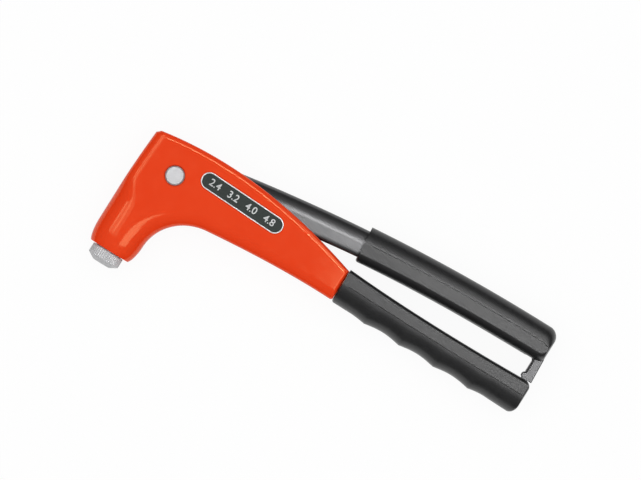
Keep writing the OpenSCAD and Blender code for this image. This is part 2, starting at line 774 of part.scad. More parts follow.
module fixed_grip() {
    slot_start = catch_at.x - catch_r - inner_gap;
    slot_floor = catch_at.y - catch_r - tooth_gap - tooth_len - latch_gap;
    color([0.13, 0.13, 0.14])
    difference() {
        pillow(fixed_grip_rims(), grip_half);
        tang_run(fixed_grip_start - over, tang_end + run_gap)
            polygon(half_round(tang_r + run_gap, tang_lip + run_gap));
        translate([slot_start, slot_floor, -slot_half])
            cube([fixed_grip_stop - slot_start + over,
                  tang_height + max(fixed_grip_top) - slot_floor + over,
                  2 * slot_half]);
    }
}

module badge_plate() {
    color([0.8, 0.8, 0.8])
    difference() {
        plate(half - badge_recess, half + badge_proud)
            capsule(badge_front, badge_rear, badge_r);
        plate(half, half + badge_proud + over)
            capsule(badge_front, badge_rear, badge_r - badge_rim);
    }
}

module badge_inlay() {
    color([0.16, 0.2, 0.19])
    plate(half, half + badge_proud / 2)
        capsule(badge_front, badge_rear, badge_r - badge_rim - seat_gap);
}

module pivot_pin() {
    head_low = half - pin_seat_depth;
    head_r = pin_head_d / 2;
    head_high = pin_proud + pin_seat_depth;
    color([0.72, 0.73, 0.74])
    difference() {
        union() {
            along_z(pivot, -grip_half, head_low + over / 2, pin_r);
            translate([pivot.x, pivot.y, head_low])
                rotate_extrude()
                    polygon([
                        [0, 0], [head_r, 0], [head_r, head_high - pin_chamfer],
                        [head_r - pin_chamfer, head_high], [0, head_high]]);
        }
        difference() {
            along_z(pivot, groove_low, groove_low + clip_thick, pin_r + over);
            along_z(pivot, groove_low - over, groove_low + clip_thick + over, groove_r);
        }
    }
}

module pivot_clip() {
    color([0.35, 0.35, 0.36])
    difference() {
        along_z(pivot, groove_low + seat_gap, groove_low + clip_thick - seat_gap, clip_d / 2);
        along_z(pivot, groove_low - over, groove_low + clip_thick + over, groove_r + seat_gap);
        translate([pivot.x, pivot.y - groove_r - seat_gap, groove_low - over])
            cube([clip_d, 2 * (groove_r + seat_gap), clip_thick + 2 * over]);
    }
}

module spring_seat() {
    color([0.62, 0.62, 0.64]) {
        along_nose(seat_under, roof_under, tube_r + seat_rim);
        along_nose(seat_under - seat_spigot, seat_under + over / 2, coil_r - wire_r - inner_gap);
    }
}

module latch_catch_pin() {
    color([0.7, 0.7, 0.72])
    along_z(catch_at, -tang_r, tang_r, catch_r);
}

// Centre line of the return spring at a number of turns from its lower end
function coil_place(turns) =
    [coil_r * cos(360 * turns),
     between(spring_low, spring_high, turns / coil_count),
     coil_r * sin(360 * turns)];
coil_pitch = (spring_high - spring_low) / coil_count;
echo(least_spring_gap = coil_pitch - wire_d);

module return_spring() {
    rings = coil_count * coil_rings;
    places = [for (k = [0:rings])
        let (turns = k / coil_rings)
        let (centre = coil_place(turns))
        for (s = [0:coil_sides - 1])
            let (turn = 360 * s / coil_sides)
            centre + wire_r * [cos(turn) * cos(360 * turns), sin(turn), cos(turn) * sin(360 * turns)]];
    sides = [for (k = [0:rings - 1])
        for (s = [0:coil_sides - 1])
            let (a = k * coil_sides + s)
            let (b = k * coil_sides + (s + 1) % coil_sides)
            each [[a, b, b + coil_sides], [a, b + coil_sides, a + coil_sides]]];
    last = rings * coil_sides;
    color([0.55, 0.56, 0.58])
    polyhedron(
        points = places,
        faces = concat(
            [[for (s = [coil_sides - 1:-1:0]) s]],
            [[for (s = [0:coil_sides - 1]) last + s]],
            sides),
        convexity = 8);
}

// Outline of the channel in the lever, at a depth below its top edge
module channel_outline(depth) {
    below = pivot.y - 2 * lever_boss_d;
    front = fork_tip.x - fork_tip_d;
    polygon(concat(
        [for (k = [0:long_steps])
            let (x = between(lever_end, web_start, k / long_steps))
            [x + (k == 0 ? over : 0), lever_top_at(x) - depth]],
        [[web_start, max(lever_top)], [front, max(lever_top)], [front, below], [lever_end + over, below]]));
}

module lever_arm() {
    inner_half = channel_half - fold_inner[1];
    color([0.46, 0.47, 0.48])
    difference() {
        pillow(lever_rims(), lever_half);
        plate(-channel_half, channel_half)
            channel_outline(sheet + fold_inner[0]);
        plate(-inner_half, inner_half)
            channel_outline(sheet);
        along_z(pivot, -half, half, pin_r + run_gap);
        along_z(latch_pin_at, -half, half, latch_pin_r + seat_gap);
    }
}

module lever_grip() {
    slot_start = latch_pin_at.x - latch_room.x;
    slot_top = latch_pin_at.y + latch_room.y;
    low = min(lever_under) - 2 * grip_skin;
    color([0.13, 0.13, 0.14])
    difference() {
        pillow(lever_grip_rims(), grip_half);
        plate(-lever_half - run_gap, lever_half + run_gap)
            polygon(concat(
                [[channel_start, lever_under_at(under_start) - grip_skin]],
                [for (x = lever_xs) if (x > under_start)
                    [x + (x == lever_end ? run_gap : 0), lever_under_at(x) - run_gap]],
                [for (k = [0:long_steps])
                    let (x = between(lever_end, channel_start, k / long_steps))
                    [x + (k == 0 ? run_gap : 0), lever_top_at(x) + run_gap]]));
        translate([slot_start, low, -slot_half])
            cube([lever_grip_end - slot_start + over, slot_top - low, 2 * slot_half]);
    }
}

module latch_pin() {
    color([0.7, 0.7, 0.72])
    along_z(latch_pin_at, -lever_half, lever_half, latch_pin_r);
}

// Flat outline of a latch cheek with its hook
module latch_outline() {
    boss_r = 3.2;
    neck_left = 0.5;
    neck_right = 6.15;
    heel_y = -4.5;
    tip_y = tang_height + latch_tip_rise - latch_pin_at.y;
    tongue_left = catch_offset.x + catch_r + 2.3;
    tongue_right = neck_left + 3.8;
    nub_left = neck_left - 1.1;
    nub_top = tip_y + 2.8;
    nub_foot = tip_y + 1.2;
    hook_y = catch_offset.y - catch_r - tooth_gap;
    tooth_left = catch_offset.x + catch_r + tooth_gap;
    translate(latch_pin_at) {
        circle(boss_r);
        polygon([
            [-boss_r, 0], [-1, heel_y - 1.5], [neck_left, heel_y - 4], [neck_left, tip_y + 4],
            [nub_left, nub_top], [nub_left, nub_foot],
            [tongue_left, tip_y], [tongue_left, hook_y], [tooth_left, hook_y],
            [tooth_left, hook_y - 1], [tongue_left, hook_y - tooth_len],
            [tongue_right - 1, hook_y - tooth_len], [tongue_right, hook_y - tooth_len + 1],
            [tongue_right, tip_y], [neck_right + 0.8, tip_y], [neck_right, heel_y], [boss_r, 0]]);
    }
}

module latch() {
    web_x = latch_pin_at.x + 0.5;
    web_low = latch_pin_at.y + latch_web[0];
    web_high = latch_pin_at.y + latch_web[1];
    color([0.5, 0.51, 0.52])
    difference() {
        union() {
            plate_pair(latch_half - latch_sheet, latch_half)
                latch_outline();
            translate([web_x, web_low, -latch_half + over / 2])
                cube([latch_sheet, web_high - web_low, latch_width - over]);
        }
        along_z(latch_pin_at, -half, half, latch_pin_r + run_gap);
    }
}

// Hollow of the jaw case: cone, chamber and thread bore in one turned outline
module jaw_case() {
    color([0.62, 0.62, 0.64])
    difference() {
        along_nose(case_bottom, case_top, case_r);
        rotate([-90, 0, 0])
            rotate_extrude()
                polygon([
                    [0, case_bottom - over], [jaw_mouth_r - over * tan(jaw_angle), case_bottom - over],
                    [cone_top_r, cone_top], [chamber_r, cone_top],
                    [chamber_r, case_top + over], [0, case_top + over]]);
    }
}

module pull_tube() {
    collar_r = collar_d / 2;
    color([0.62, 0.62, 0.64])
    difference() {
        union() {
            along_nose(case_top - spigot_len, case_top + over / 2, spigot_r);
            along_nose(case_top, collar_top, tube_r);
            intersection() {
                along_nose(collar_under, collar_top, collar_r);
                translate([-collar_r - over, collar_under - over, -collar_r - over])
                    cube([collar_flat + collar_r + over, collar_thick + 2 * over, 2 * collar_r + 2 * over]);
            }
        }
        along_nose(case_top - spigot_len - over, collar_top + over, tube_bore_r);
    }
}

// One of the three jaws, a third of a toothed cone with flat gaps beside it
module jaw(index) {
    spread = 120;
    tooth_pitch = 1.2;
    tooth_depth = 0.3;
    tooth_count = floor(jaw_len / tooth_pitch);
    low_r = jaw_mouth_r - (case_bottom - jaw_bottom) * tan(jaw_angle) - run_gap;
    high_r = low_r + jaw_len * tan(jaw_angle);
    apex = [jaw_gap / 2 / sin(spread / 2), 0];
    color([0.4, 0.4, 0.42])
    rotate([0, -spread * index, 0])
    rotate([-90, 0, 0])
    intersection() {
        rotate_extrude()
            polygon(concat(
                [[low_r, jaw_bottom], [high_r, jaw_top]],
                [for (k = [0:tooth_count - 1])
                    let (y = jaw_top - k * tooth_pitch)
                    each [[jaw_hole_r, y], [jaw_hole_r + tooth_depth, y - tooth_pitch]]]));
        translate([0, 0, jaw_bottom - over])
            linear_extrude(jaw_len + 2 * over)
                polygon([apex, apex + 4 * high_r * [cos(-spread / 2), sin(-spread / 2)],
                         apex + 4 * high_r * [cos(spread / 2), sin(spread / 2)]]);
    }
}

module jaw_pusher() {
    bore_r = mandrel_d / 2 + run_gap;
    color([0.55, 0.55, 0.57])
    difference() {
        union() {
            along_nose(pusher_bottom, pusher_bottom + pusher_head, pusher_head_r);
            along_nose(pusher_bottom, pusher_top, pusher_stem_r);
        }
        along_nose(pusher_bottom - over, pusher_top + over, bore_r);
    }
}

body();
nosepiece();
barrel_sleeve();
fixed_grip();
badge_plate();
badge_inlay();
pivot_pin();
pivot_clip();
spring_seat();
latch_catch_pin();
return_spring();
lever_arm();
lever_grip();
latch_pin();
latch();
jaw_case();
pull_tube();
jaw(0);  // jaw_1
jaw(1);  // jaw_2
jaw(2);  // jaw_3
jaw_pusher();
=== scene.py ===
"""Looks of the hand riveter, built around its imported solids.

X runs along the fixed handle, Y along the nose axis away from the tip, Z through the thickness.
Sizes are in millimetres, as in the solids, and become metres where a mesh is made.
"""

import math

import bmesh
import bpy
from mathutils import Matrix, Vector


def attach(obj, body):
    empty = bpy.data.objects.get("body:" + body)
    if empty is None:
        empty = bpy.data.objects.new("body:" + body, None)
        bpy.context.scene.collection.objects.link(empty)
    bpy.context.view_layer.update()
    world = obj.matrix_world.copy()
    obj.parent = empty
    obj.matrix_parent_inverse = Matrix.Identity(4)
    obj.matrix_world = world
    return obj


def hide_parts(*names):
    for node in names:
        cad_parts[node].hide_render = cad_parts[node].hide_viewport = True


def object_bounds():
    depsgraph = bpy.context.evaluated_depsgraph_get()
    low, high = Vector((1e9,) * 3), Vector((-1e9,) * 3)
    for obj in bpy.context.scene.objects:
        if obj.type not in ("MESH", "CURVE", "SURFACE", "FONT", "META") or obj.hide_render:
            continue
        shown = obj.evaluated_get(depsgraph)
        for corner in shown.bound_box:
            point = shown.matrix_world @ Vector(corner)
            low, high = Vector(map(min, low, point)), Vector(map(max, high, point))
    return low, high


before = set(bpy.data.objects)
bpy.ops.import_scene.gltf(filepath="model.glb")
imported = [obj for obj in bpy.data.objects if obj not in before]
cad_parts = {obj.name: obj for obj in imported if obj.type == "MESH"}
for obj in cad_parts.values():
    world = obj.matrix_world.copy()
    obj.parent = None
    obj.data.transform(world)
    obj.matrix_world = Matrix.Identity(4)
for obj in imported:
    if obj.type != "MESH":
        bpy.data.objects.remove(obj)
cad_low, cad_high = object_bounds()

MM = 0.001
scene = bpy.context.scene

# Half thicknesses of the body, its hollow, the grips and the lever
HALF = 12
CAVITY_HALF = 9
GRIP_HALF = 12.8
LEVER_HALF = 8.5
CHANNEL_HALF = 6
# Clearances: running fits, seated pieces, and overlap of cuts
RUN_GAP = 0.05
SEAT_GAP = 0.02
OVER = 1
# Points nearer than this are joined, and faces thinner than this are dropped
JOIN_GAP = 0.002
THIN_FACE = 0.001
# Edges sharper than these angles stay sharp, on most pieces and on turned ones
SHARP_ANGLE = 35
TURNED_SHARP_ANGLE = 40
# Weight of the large faces in the shading
FLAT_WEIGHT = 80
# Steps of rounded corners, turned shapes and rounded rims
CORNER_STEPS = 8
TURN_STEPS = 96
RIM_STEPS = 14
LEVER_RIM_STEPS = 10
LATCH_RIM_STEPS = 8
# Steps of the curved edges of the body, the lever and the grips
NOSE_STEPS = 12
CROTCH_STEPS = 30
UNDER_STEPS = 20
TOP_STEPS = 40
FRONT_STEPS = 34
CAVITY_STEPS = 16
BOSS_STEPS = 14
BROW_STEPS = 6
LEVER_UNDER_STEPS = 30
LEVER_TOP_STEPS = 44
GRIP_TOP_STEPS = 36
GRIP_UNDER_STEPS = 24
GRIP_CORNER_STEPS = 12
FIXED_END_STEPS = 10
FINGER_STEPS = 20
PLAIN_STEPS = 4
TANG_STEPS = 32
# Steps of the badge and of the nosepiece
CAPSULE_STEPS = 40
BADGE_RIM_STEPS = 4
FLUTE_STEPS = 6
CHAMFER_STEPS = 8
KNURL_STEPS = 5
# Steps of the round head of the latch
LATCH_HEAD_STEPS = 24

# Body
BODY_END = 123.8
FRONT_REACH = 14.45
REAR_REACH = 15.65
FRONT_LEAN = 1.7
TANG_HEIGHT = 64.6
BODY_TOP = (82.9, 91.3, 85.4, 71.6)
CROTCH_CENTRE = Vector((45.3, 20.5))
CROTCH_RISE = 27.5
CROTCH_SWEEP = 82.5
TOP_ROUND = 3.2
FRONT_ROUND = 6.5
UNDER_ROUND = 8
CORNER_R = 1.8
CORNER_SWEEP = 70
END_ROUND = 2.4
END_CORNER = 1.5
FLAT_CORNER = 0.6
TOP_STEP = 1.3
STRIP_FRONT = 0
STRIP_REAR = 1
ROUND_EDGE = 0.4
BARREL_DROP = 9.5
TOP_DROP = 2
FRONT_DROP = 4.5
UNDER_DROP = 4.5
FRONT_TAPER = 3.5
REAR_TAPER = 4.1
TAPER_LEN = 13.5
TAPER_LIFT = 1
STRIP_TAPER = 0.3
STRIP_SINK = 2.2
ROUND_TO = 36
FLAT_FROM = 54
LEAN_FROM = 33
LEAN_STOP = 2.1
FRONT_WALL = 4
ROOF_WALL = 1.4
FLOOR_WALL = 4.5
END_WALL = 5.8
ROOF_END = 8.5
CAVITY_STEP = 26
SLEEVE_OUTER = 8.9
SLEEVE_TOP = 46

# Nosepiece
NOSE_LEN = 8.2
NOSE_END = 8.7
NOSE_R = 9.75
NOSE_TIP_R = 5.3
NOSE_CHAMFER = 2.6
KNURL_COUNT = 44
KNURL_DEPTH = 0.35
NOSE_EDGE = 0.25
CHAMFER_START = 1.2
CHAMFER_STOP = 0.1
KNURL_START = 1
KNURL_STOP = 0.35
MANDREL_R = 1.65
NECK_R = 8
SHANK_R = 7.05
SHANK_TOP = 17.5

# Pivot pin and the seats for its head and its clip
PIVOT = Vector((9.8, 65.3))
PIN_R = 4
PIN_HEAD_R = 5.6
PIN_HEAD_PROUD = 0.8
PIN_FACE_R = 3.2
PIN_END_CHAMFER = 0.4
PIN_SEAT_R = 6.2
PIN_SEAT_DEPTH = 1.2
PIN_CHAMFER = 0.7
CLIP_SEAT_R = 6.3
CLIP_SEAT_DEPTH = 1.2
GROOVE = (-11.6, -10.8)
GROOVE_R = 3.4

# Lever
LEVER_END = 242
SHEET = 2.5
FOLD_WIDTH = 9
FOLD_DEPTH = 5.7
FOLD_INNER = (3, 2)
LOW_EDGE_WIDTH = 3.4
LOW_EDGE_DEPTH = 1.8
SHEET_EDGE = 0.6
LEVER_TOP = (83.0, 96.9, 103.7, 103.3)
LEVER_UNDER = (77.4, 85.0, 86.9, 87.5)
LEVER_BOSS_R = 7
FORK_LEN = 9.8
FORK_TIP_R = 4
FORK_WIDTH = 6
FORK_ANGLE = 165
BOSS_FOOT = 290
BOSS_BROW = 120
CHANNEL_START = 22
CHANNEL_ROOT = 62
LOW_EDGE_START = CHANNEL_START + 8
WEB_START = 24
UNDER_START = 96

# Grips and the tang of the fixed handle
GRIP_SKIN = 2.7
GRIP_EDGE = 4
GRIP_CORNER = 4.2
MOUTH_CORNER = 1.5
LEVER_GRIP_START = 121.6
LEVER_GRIP_LEAN = 1.6
LEVER_GRIP_CORNER = 6.5
LEVER_GRIP_END = LEVER_END + 3.3
LEVER_GRIP_TOP_INSET = 10.2
LEVER_GRIP_UNDER_INSET = 5.5
LEVER_GRIP_END_INSET = 1.6
LEVER_GRIP_FALL = 2
LEVER_GRIP_ROUND = 9.5
LEVER_GRIP_UNDER_ROUND = 11
HEEL_CUT = Vector((5.8, 3))
LEVER_SEAM_START = LEVER_GRIP_START + 3.4
LEVER_SEAM_STOP_TURN = 30
FIXED_GRIP_START = BODY_END + 0.2
FIXED_GRIP_END = LEVER_END + 4.75
FIXED_SEAM_START = FIXED_GRIP_START + 4
FIXED_HEEL_STRETCH = 1.5
FIXED_END_RUN = 3
FIXED_GRIP_TOP = (8.3, 5.9, 6.5, 8.0)
FIXED_GRIP_INSET = 2
FIXED_GRIP_END_INSET = 1.2
FINGER_HOLLOW = TANG_HEIGHT - 12.6
PLAIN_ENDS = 0.45
END_BLEND = 14
FRONT_BLEND_SHIFT = 1
REAR_BLEND_SHIFT = 0.5
FINGER_DEPTH = 1.4
FINGER_PITCH = 23.3
FINGER_FIRST = 146.8
FINGER_COUNT = 4
FINGER_FROM = FINGER_FIRST - FINGER_PITCH / 2
FINGER_TO = FINGER_FROM + FINGER_COUNT * FINGER_PITCH
SEAM_BOW = 0.5
SEAM_DEPTH = 0.3
TANG_R = 9.6
TANG_WALL = 2.5
TANG_LIP = 4.4
TANG_END = 240

# Latch and its pins
LATCH_PIN = Vector((239.3, 92.4))
LATCH_PIN_R = 1.75
LATCH_HALF = 4.5
LATCH_SHEET = 1.5
LATCH_NECK = 0.5
LATCH_ROOM = Vector((4.5, 6))
SLOT_HALF = 5.2
CATCH = Vector((236.2, 66.7))
CATCH_R = 1.45
CATCH_ROOM = 0.3
TOOTH_GAP = 0.45
TOOTH_LEN = 3
TOOTH_ROOM = 0.7

# Badge
BADGE_FRONT = Vector((28.35, 73.2))
BADGE_REAR = Vector((73.25, 71.75))
BADGE_R = 5.05
BADGE_RIM = 0.65
BADGE_PROUD = 0.3
BADGE_RECESS = 0.4
BADGE_GAP = 0.4
FIELD_TOP = HALF + BADGE_PROUD / 2
BADGE_RIM_ROUND = 0.2
NUMBER_HEIGHT = 6
NUMBER_WEIGHT = 0.05
NUMBER_HALF_DEPTH = 0.05
NUMBER_LIFT = 0.04


def cosd(turn):
    return math.cos(math.radians(turn))


def sind(turn):
    return math.sin(math.radians(turn))


def between(low, high, t):
    return low + (high - low) * t


def spread(low, high, steps):
    """Values from low to high in equal steps."""
    return [between(low, high, k / steps) for k in range(steps + 1)]


def curve(handles, t):
    """Height on a curve with four handles."""
    s = 1 - t
    return (handles[0] * s ** 3 + 3 * handles[1] * t * s * s
            + 3 * handles[2] * t * t * s + handles[3] * t ** 3)


def soft(t):
    """Soft step from 0 to 1."""
    s = min(1, max(0, t))
    return s * s * (3 - 2 * s)


def arc(centre, r, start, stop, steps):
    return [centre + r * Vector((cosd(turn), sind(turn))) for turn in spread(start, stop, steps)]


# Tip of the lever's fork, and edges of the body as heights and reaches
FORK_TIP = PIVOT + FORK_LEN * Vector((cosd(FORK_ANGLE), sind(FORK_ANGLE)))
TOP_START = -FRONT_REACH + FRONT_LEAN + TOP_STEP
TAPER_TOP = CROTCH_CENTRE.y + TAPER_LIFT
CROTCH_REACH = CROTCH_CENTRE.x - REAR_REACH
CROTCH_FLAT = Vector((CROTCH_CENTRE.x - STRIP_REAR, CROTCH_RISE + UNDER_ROUND))
CROTCH_END = CROTCH_CENTRE + Vector((-CROTCH_REACH * cosd(CROTCH_SWEEP), CROTCH_RISE * sind(CROTCH_SWEEP)))
BODY_UNDER = (CROTCH_END.y, 50.8, 52.8, 52.3)


def body_top_at(x):
    return curve(BODY_TOP, (x - TOP_START) / (BODY_END - TOP_START))


def body_under_at(x):
    return curve(BODY_UNDER, (x - CROTCH_END.x) / (BODY_END - CROTCH_END.x))


def front_at(y):
    lean_to = BODY_TOP[0] - LEAN_STOP
    return -FRONT_REACH + FRONT_LEAN * (max(0, y - LEAN_FROM) / (lean_to - LEAN_FROM)) ** 2


def rim(outer, flat, drop, seam=0.0, sink=0.0):
    """One place on a rounded rim: outer point, start of the flat side, depths of rounding, seam and side."""
    return Vector(outer), Vector(flat), drop, seam, sink


def taper_rims(reach, taper, strip, strip_taper):
    """Rims of one side of the barrel, from its full width down to the nose end, where it draws in."""
    rims = []
    nose_turn = math.degrees(math.asin((TAPER_TOP - NOSE_END) / TAPER_LEN))
    for turn in spread(0, nose_turn, NOSE_STEPS):
        draw_in = 1 - cosd(turn)
        y = TAPER_TOP - TAPER_LEN * sind(turn)
        rims.append(rim((reach - taper * draw_in, y), (strip - strip_taper * draw_in, y),
                        BARREL_DROP - STRIP_SINK * draw_in, 0, STRIP_SINK * draw_in))
    return rims


def body_rims():
    """Rounded rims of the body, counterclockwise from the nose end."""
    rims = list(reversed(taper_rims(REAR_REACH, REAR_TAPER, STRIP_REAR, STRIP_TAPER)))
    front_flat_x = front_at(BODY_TOP[0]) + FRONT_ROUND
    front_flat_y = body_top_at(front_flat_x) - TOP_ROUND - FLAT_CORNER
    front_top_y = BODY_TOP[0] - CORNER_R
    end_x = BODY_END - END_CORNER
    end_flat_x = BODY_END - END_ROUND - FLAT_CORNER
    for turn in spread(0, CROTCH_SWEEP, CROTCH_STEPS)[1:]:
        rims.append(rim(
            CROTCH_CENTRE + Vector((-CROTCH_REACH * cosd(turn), CROTCH_RISE * sind(turn))),
            CROTCH_CENTRE + Vector((-CROTCH_FLAT.x * cosd(turn), CROTCH_FLAT.y * sind(turn))),
            between(BARREL_DROP, UNDER_DROP, sind(turn))))
    start_shift = (CROTCH_REACH - CROTCH_FLAT.x) * cosd(CROTCH_SWEEP)
    for t in spread(0, 1, UNDER_STEPS)[1:]:
        x = between(CROTCH_END.x, end_x, t)
        shift = between(start_shift, end_flat_x - end_x, t)
        rims.append(rim((x, body_under_at(x)), (x + shift, body_under_at(x) + UNDER_ROUND), UNDER_DROP))
    end_outer = Vector((end_x, body_under_at(end_x)))
    end_flat = Vector((end_flat_x, body_under_at(end_x) + UNDER_ROUND))
    for turn in spread(0, 90, CORNER_STEPS)[1:]:
        along = Vector((sind(turn), 1 - cosd(turn)))
        rims.append(rim(end_outer + END_CORNER * along, end_flat + FLAT_CORNER * along, UNDER_DROP))
    for t in spread(0, 1, TOP_STEPS):
        x = between(BODY_END, TOP_START + CORNER_R, t)
        flat_x = between(BODY_END - END_ROUND, front_flat_x + FLAT_CORNER, t)
        rims.append(rim((x, body_top_at(x)), (flat_x, body_top_at(flat_x) - TOP_ROUND), TOP_DROP))
    corner = Vector((TOP_START + CORNER_R, body_top_at(TOP_START + CORNER_R) - CORNER_R))
    corner_flat = Vector((front_flat_x + FLAT_CORNER, body_top_at(front_flat_x) - TOP_ROUND))
    for t in spread(0, 1, CORNER_STEPS)[1:-1]:
        turn = 90 + CORNER_SWEEP * t
        rims.append(rim(corner + CORNER_R * Vector((cosd(turn), sind(turn))),
                        corner_flat + FLAT_CORNER * Vector((cosd(turn), sind(turn) - 1)),
                        between(TOP_DROP, FRONT_DROP, t)))
    for t in spread(0, 1, FRONT_STEPS):
        y = between(front_top_y, TAPER_TOP, t)
        flat_y = between(front_flat_y, TAPER_TOP, t)
        roundness = soft((FLAT_FROM - flat_y) / (FLAT_FROM - ROUND_TO))
        rims.append(rim((front_at(y), y),
                        (between(front_at(flat_y) + FRONT_ROUND, STRIP_FRONT, roundness), flat_y),
                        between(FRONT_DROP, BARREL_DROP, roundness)))
    rims += taper_rims(-FRONT_REACH, -FRONT_TAPER, STRIP_FRONT, -STRIP_TAPER)[1:]
    return rims


def lever_top_at(x):
    return curve(LEVER_TOP, (x - CHANNEL_START) / (LEVER_END - CHANNEL_START))


def lever_under_at(x):
    if x < UNDER_START:
        return between(CHANNEL_ROOT, LEVER_UNDER[0], (x - CHANNEL_START) / (UNDER_START - CHANNEL_START))
    return curve(LEVER_UNDER, (x - UNDER_START) / (LEVER_END - UNDER_START))


def boss_edge(inset):
    """Edge of the lever around its pivot and its fork: below, above the boss, and above the fork."""
    boss_turn = math.degrees(math.asin((FORK_WIDTH / 2 - inset) / (LEVER_BOSS_R - inset)))
    tip_turn = 180 - math.degrees(math.asin((FORK_WIDTH / 2 - inset) / (FORK_TIP_R - inset)))
    below = arc(FORK_TIP, FORK_TIP_R - inset, FORK_ANGLE, FORK_ANGLE + tip_turn, BOSS_STEPS)
    below += arc(PIVOT, LEVER_BOSS_R - inset, FORK_ANGLE + boss_turn, BOSS_FOOT, BOSS_STEPS)
    above = arc(PIVOT, LEVER_BOSS_R - inset, BOSS_BROW, FORK_ANGLE - boss_turn, BROW_STEPS)
    above += arc(FORK_TIP, FORK_TIP_R - inset, FORK_ANGLE - tip_turn, FORK_ANGLE, BOSS_STEPS)[:-1]
    return below, above


def lever_rims():
    """Rounded rims of the folded lever, from the end of the fork along its lower edge and back on top."""
    below, above = boss_edge(0)
    below_flat, above_flat = boss_edge(SHEET_EDGE)
    rims = [rim(outer, flat, SHEET_EDGE) for outer, flat in zip(below, below_flat)]
    for x in [LOW_EDGE_START] + spread(UNDER_START, LEVER_END, LEVER_UNDER_STEPS):
        rims.append(rim((x, lever_under_at(x)), (x, lever_under_at(x) + LOW_EDGE_WIDTH), LOW_EDGE_DEPTH))
    for x in spread(LEVER_END, CHANNEL_START, LEVER_TOP_STEPS):
        rims.append(rim((x, lever_top_at(x)), (x, lever_top_at(x) - FOLD_WIDTH), FOLD_DEPTH))
    rims += [rim(outer, flat, SHEET_EDGE) for outer, flat in zip(above, above_flat)]
    return rims


def lever_grip_rims():
    """Rounded rims of the lever grip, with a leaning mouth, rounded end corners and a seam on its side."""
    rims = []
    mouth_top = lever_top_at(LEVER_GRIP_START) + GRIP_SKIN
    mouth_x = LEVER_GRIP_START + LEVER_GRIP_LEAN
    mouth_under = lever_under_at(mouth_x) - GRIP_SKIN
    mouth_slope = LEVER_GRIP_LEAN / (mouth_top - mouth_under)
    cut_x = LEVER_GRIP_END - HEEL_CUT.x
    top_x = LEVER_GRIP_END - LEVER_GRIP_CORNER
    top_y = lever_top_at(LEVER_END) + GRIP_SKIN - LEVER_GRIP_CORNER
    mouth_flat = Vector((mouth_x, mouth_under)) + LEVER_GRIP_UNDER_INSET * Vector((-mouth_slope, 1))
    for turn in spread(0, 90, CORNER_STEPS)[:-1]:
        rise = 1 - sind(turn)
        x = mouth_x + MOUTH_CORNER * (1 - cosd(turn))
        rims.append(rim(
            (x - MOUTH_CORNER * mouth_slope * rise, lever_under_at(x) - GRIP_SKIN + MOUTH_CORNER * rise),
            mouth_flat + FLAT_CORNER * Vector((1 - cosd(turn), rise)), LEVER_GRIP_UNDER_ROUND))
    for t in spread(0, 1, GRIP_UNDER_STEPS):
        x = between(mouth_x + MOUTH_CORNER, cut_x, t)
        y = lever_under_at(min(x, LEVER_END)) - GRIP_SKIN
        shift = -LEVER_GRIP_UNDER_INSET * mouth_slope * (1 - t)
        rims.append(rim((x, y), (x + shift, y + LEVER_GRIP_UNDER_INSET), LEVER_GRIP_UNDER_ROUND))
    heel_y = lever_under_at(cut_x) - GRIP_SKIN
    for turn in spread(0, 90, CORNER_STEPS)[1:]:
        rise = HEEL_CUT.y * (1 - cosd(turn))
        rims.append(rim(
            (between(cut_x, LEVER_GRIP_END, sind(turn)), heel_y + rise),
            (between(cut_x, LEVER_GRIP_END - LEVER_GRIP_END_INSET, sind(turn)),
             heel_y + LEVER_GRIP_UNDER_INSET + rise), LEVER_GRIP_UNDER_ROUND))
    for turn in spread(0, 90, GRIP_CORNER_STEPS):
        rims.append(rim(
            Vector((top_x, top_y)) + LEVER_GRIP_CORNER * Vector((cosd(turn), sind(turn))),
            (top_x - LEVER_GRIP_END_INSET + LEVER_GRIP_CORNER * cosd(turn),
             top_y + LEVER_GRIP_CORNER - LEVER_GRIP_TOP_INSET - LEVER_GRIP_FALL * (1 - sind(turn))),
            between(LEVER_GRIP_UNDER_ROUND, LEVER_GRIP_ROUND, sind(turn)),
            SEAM_DEPTH if turn > LEVER_SEAM_STOP_TURN else 0))
    for t in spread(0, 1, GRIP_TOP_STEPS)[1:]:
        x = between(top_x, LEVER_GRIP_START, t)
        y = lever_top_at(x) + GRIP_SKIN
        shift = between(-LEVER_GRIP_END_INSET, LEVER_GRIP_TOP_INSET * mouth_slope, t)
        rims.append(rim((x, y), (x + shift, y - LEVER_GRIP_TOP_INSET), LEVER_GRIP_ROUND,
                        SEAM_DEPTH if x > LEVER_SEAM_START else 0))
    return rims


def finger_under_at(x):
    """Underside of the fixed grip, with ridges between the fingers and lower plain ends."""
    front = soft((FINGER_FROM - x) / END_BLEND + FRONT_BLEND_SHIFT)
    rear = soft((x - FINGER_TO) / END_BLEND + REAR_BLEND_SHIFT)
    plain = FINGER_HOLLOW - PLAIN_ENDS * (front + rear)
    if x < FINGER_FROM or x > FINGER_TO:
        return plain
    return plain - FINGER_DEPTH * (1 - abs(sind(180 * (x - FINGER_FIRST) / FINGER_PITCH)))


def fixed_top_at(x):
    t = (x - FIXED_GRIP_START) / (FIXED_GRIP_END - FIXED_GRIP_START)
    return TANG_HEIGHT + curve(FIXED_GRIP_TOP, t)


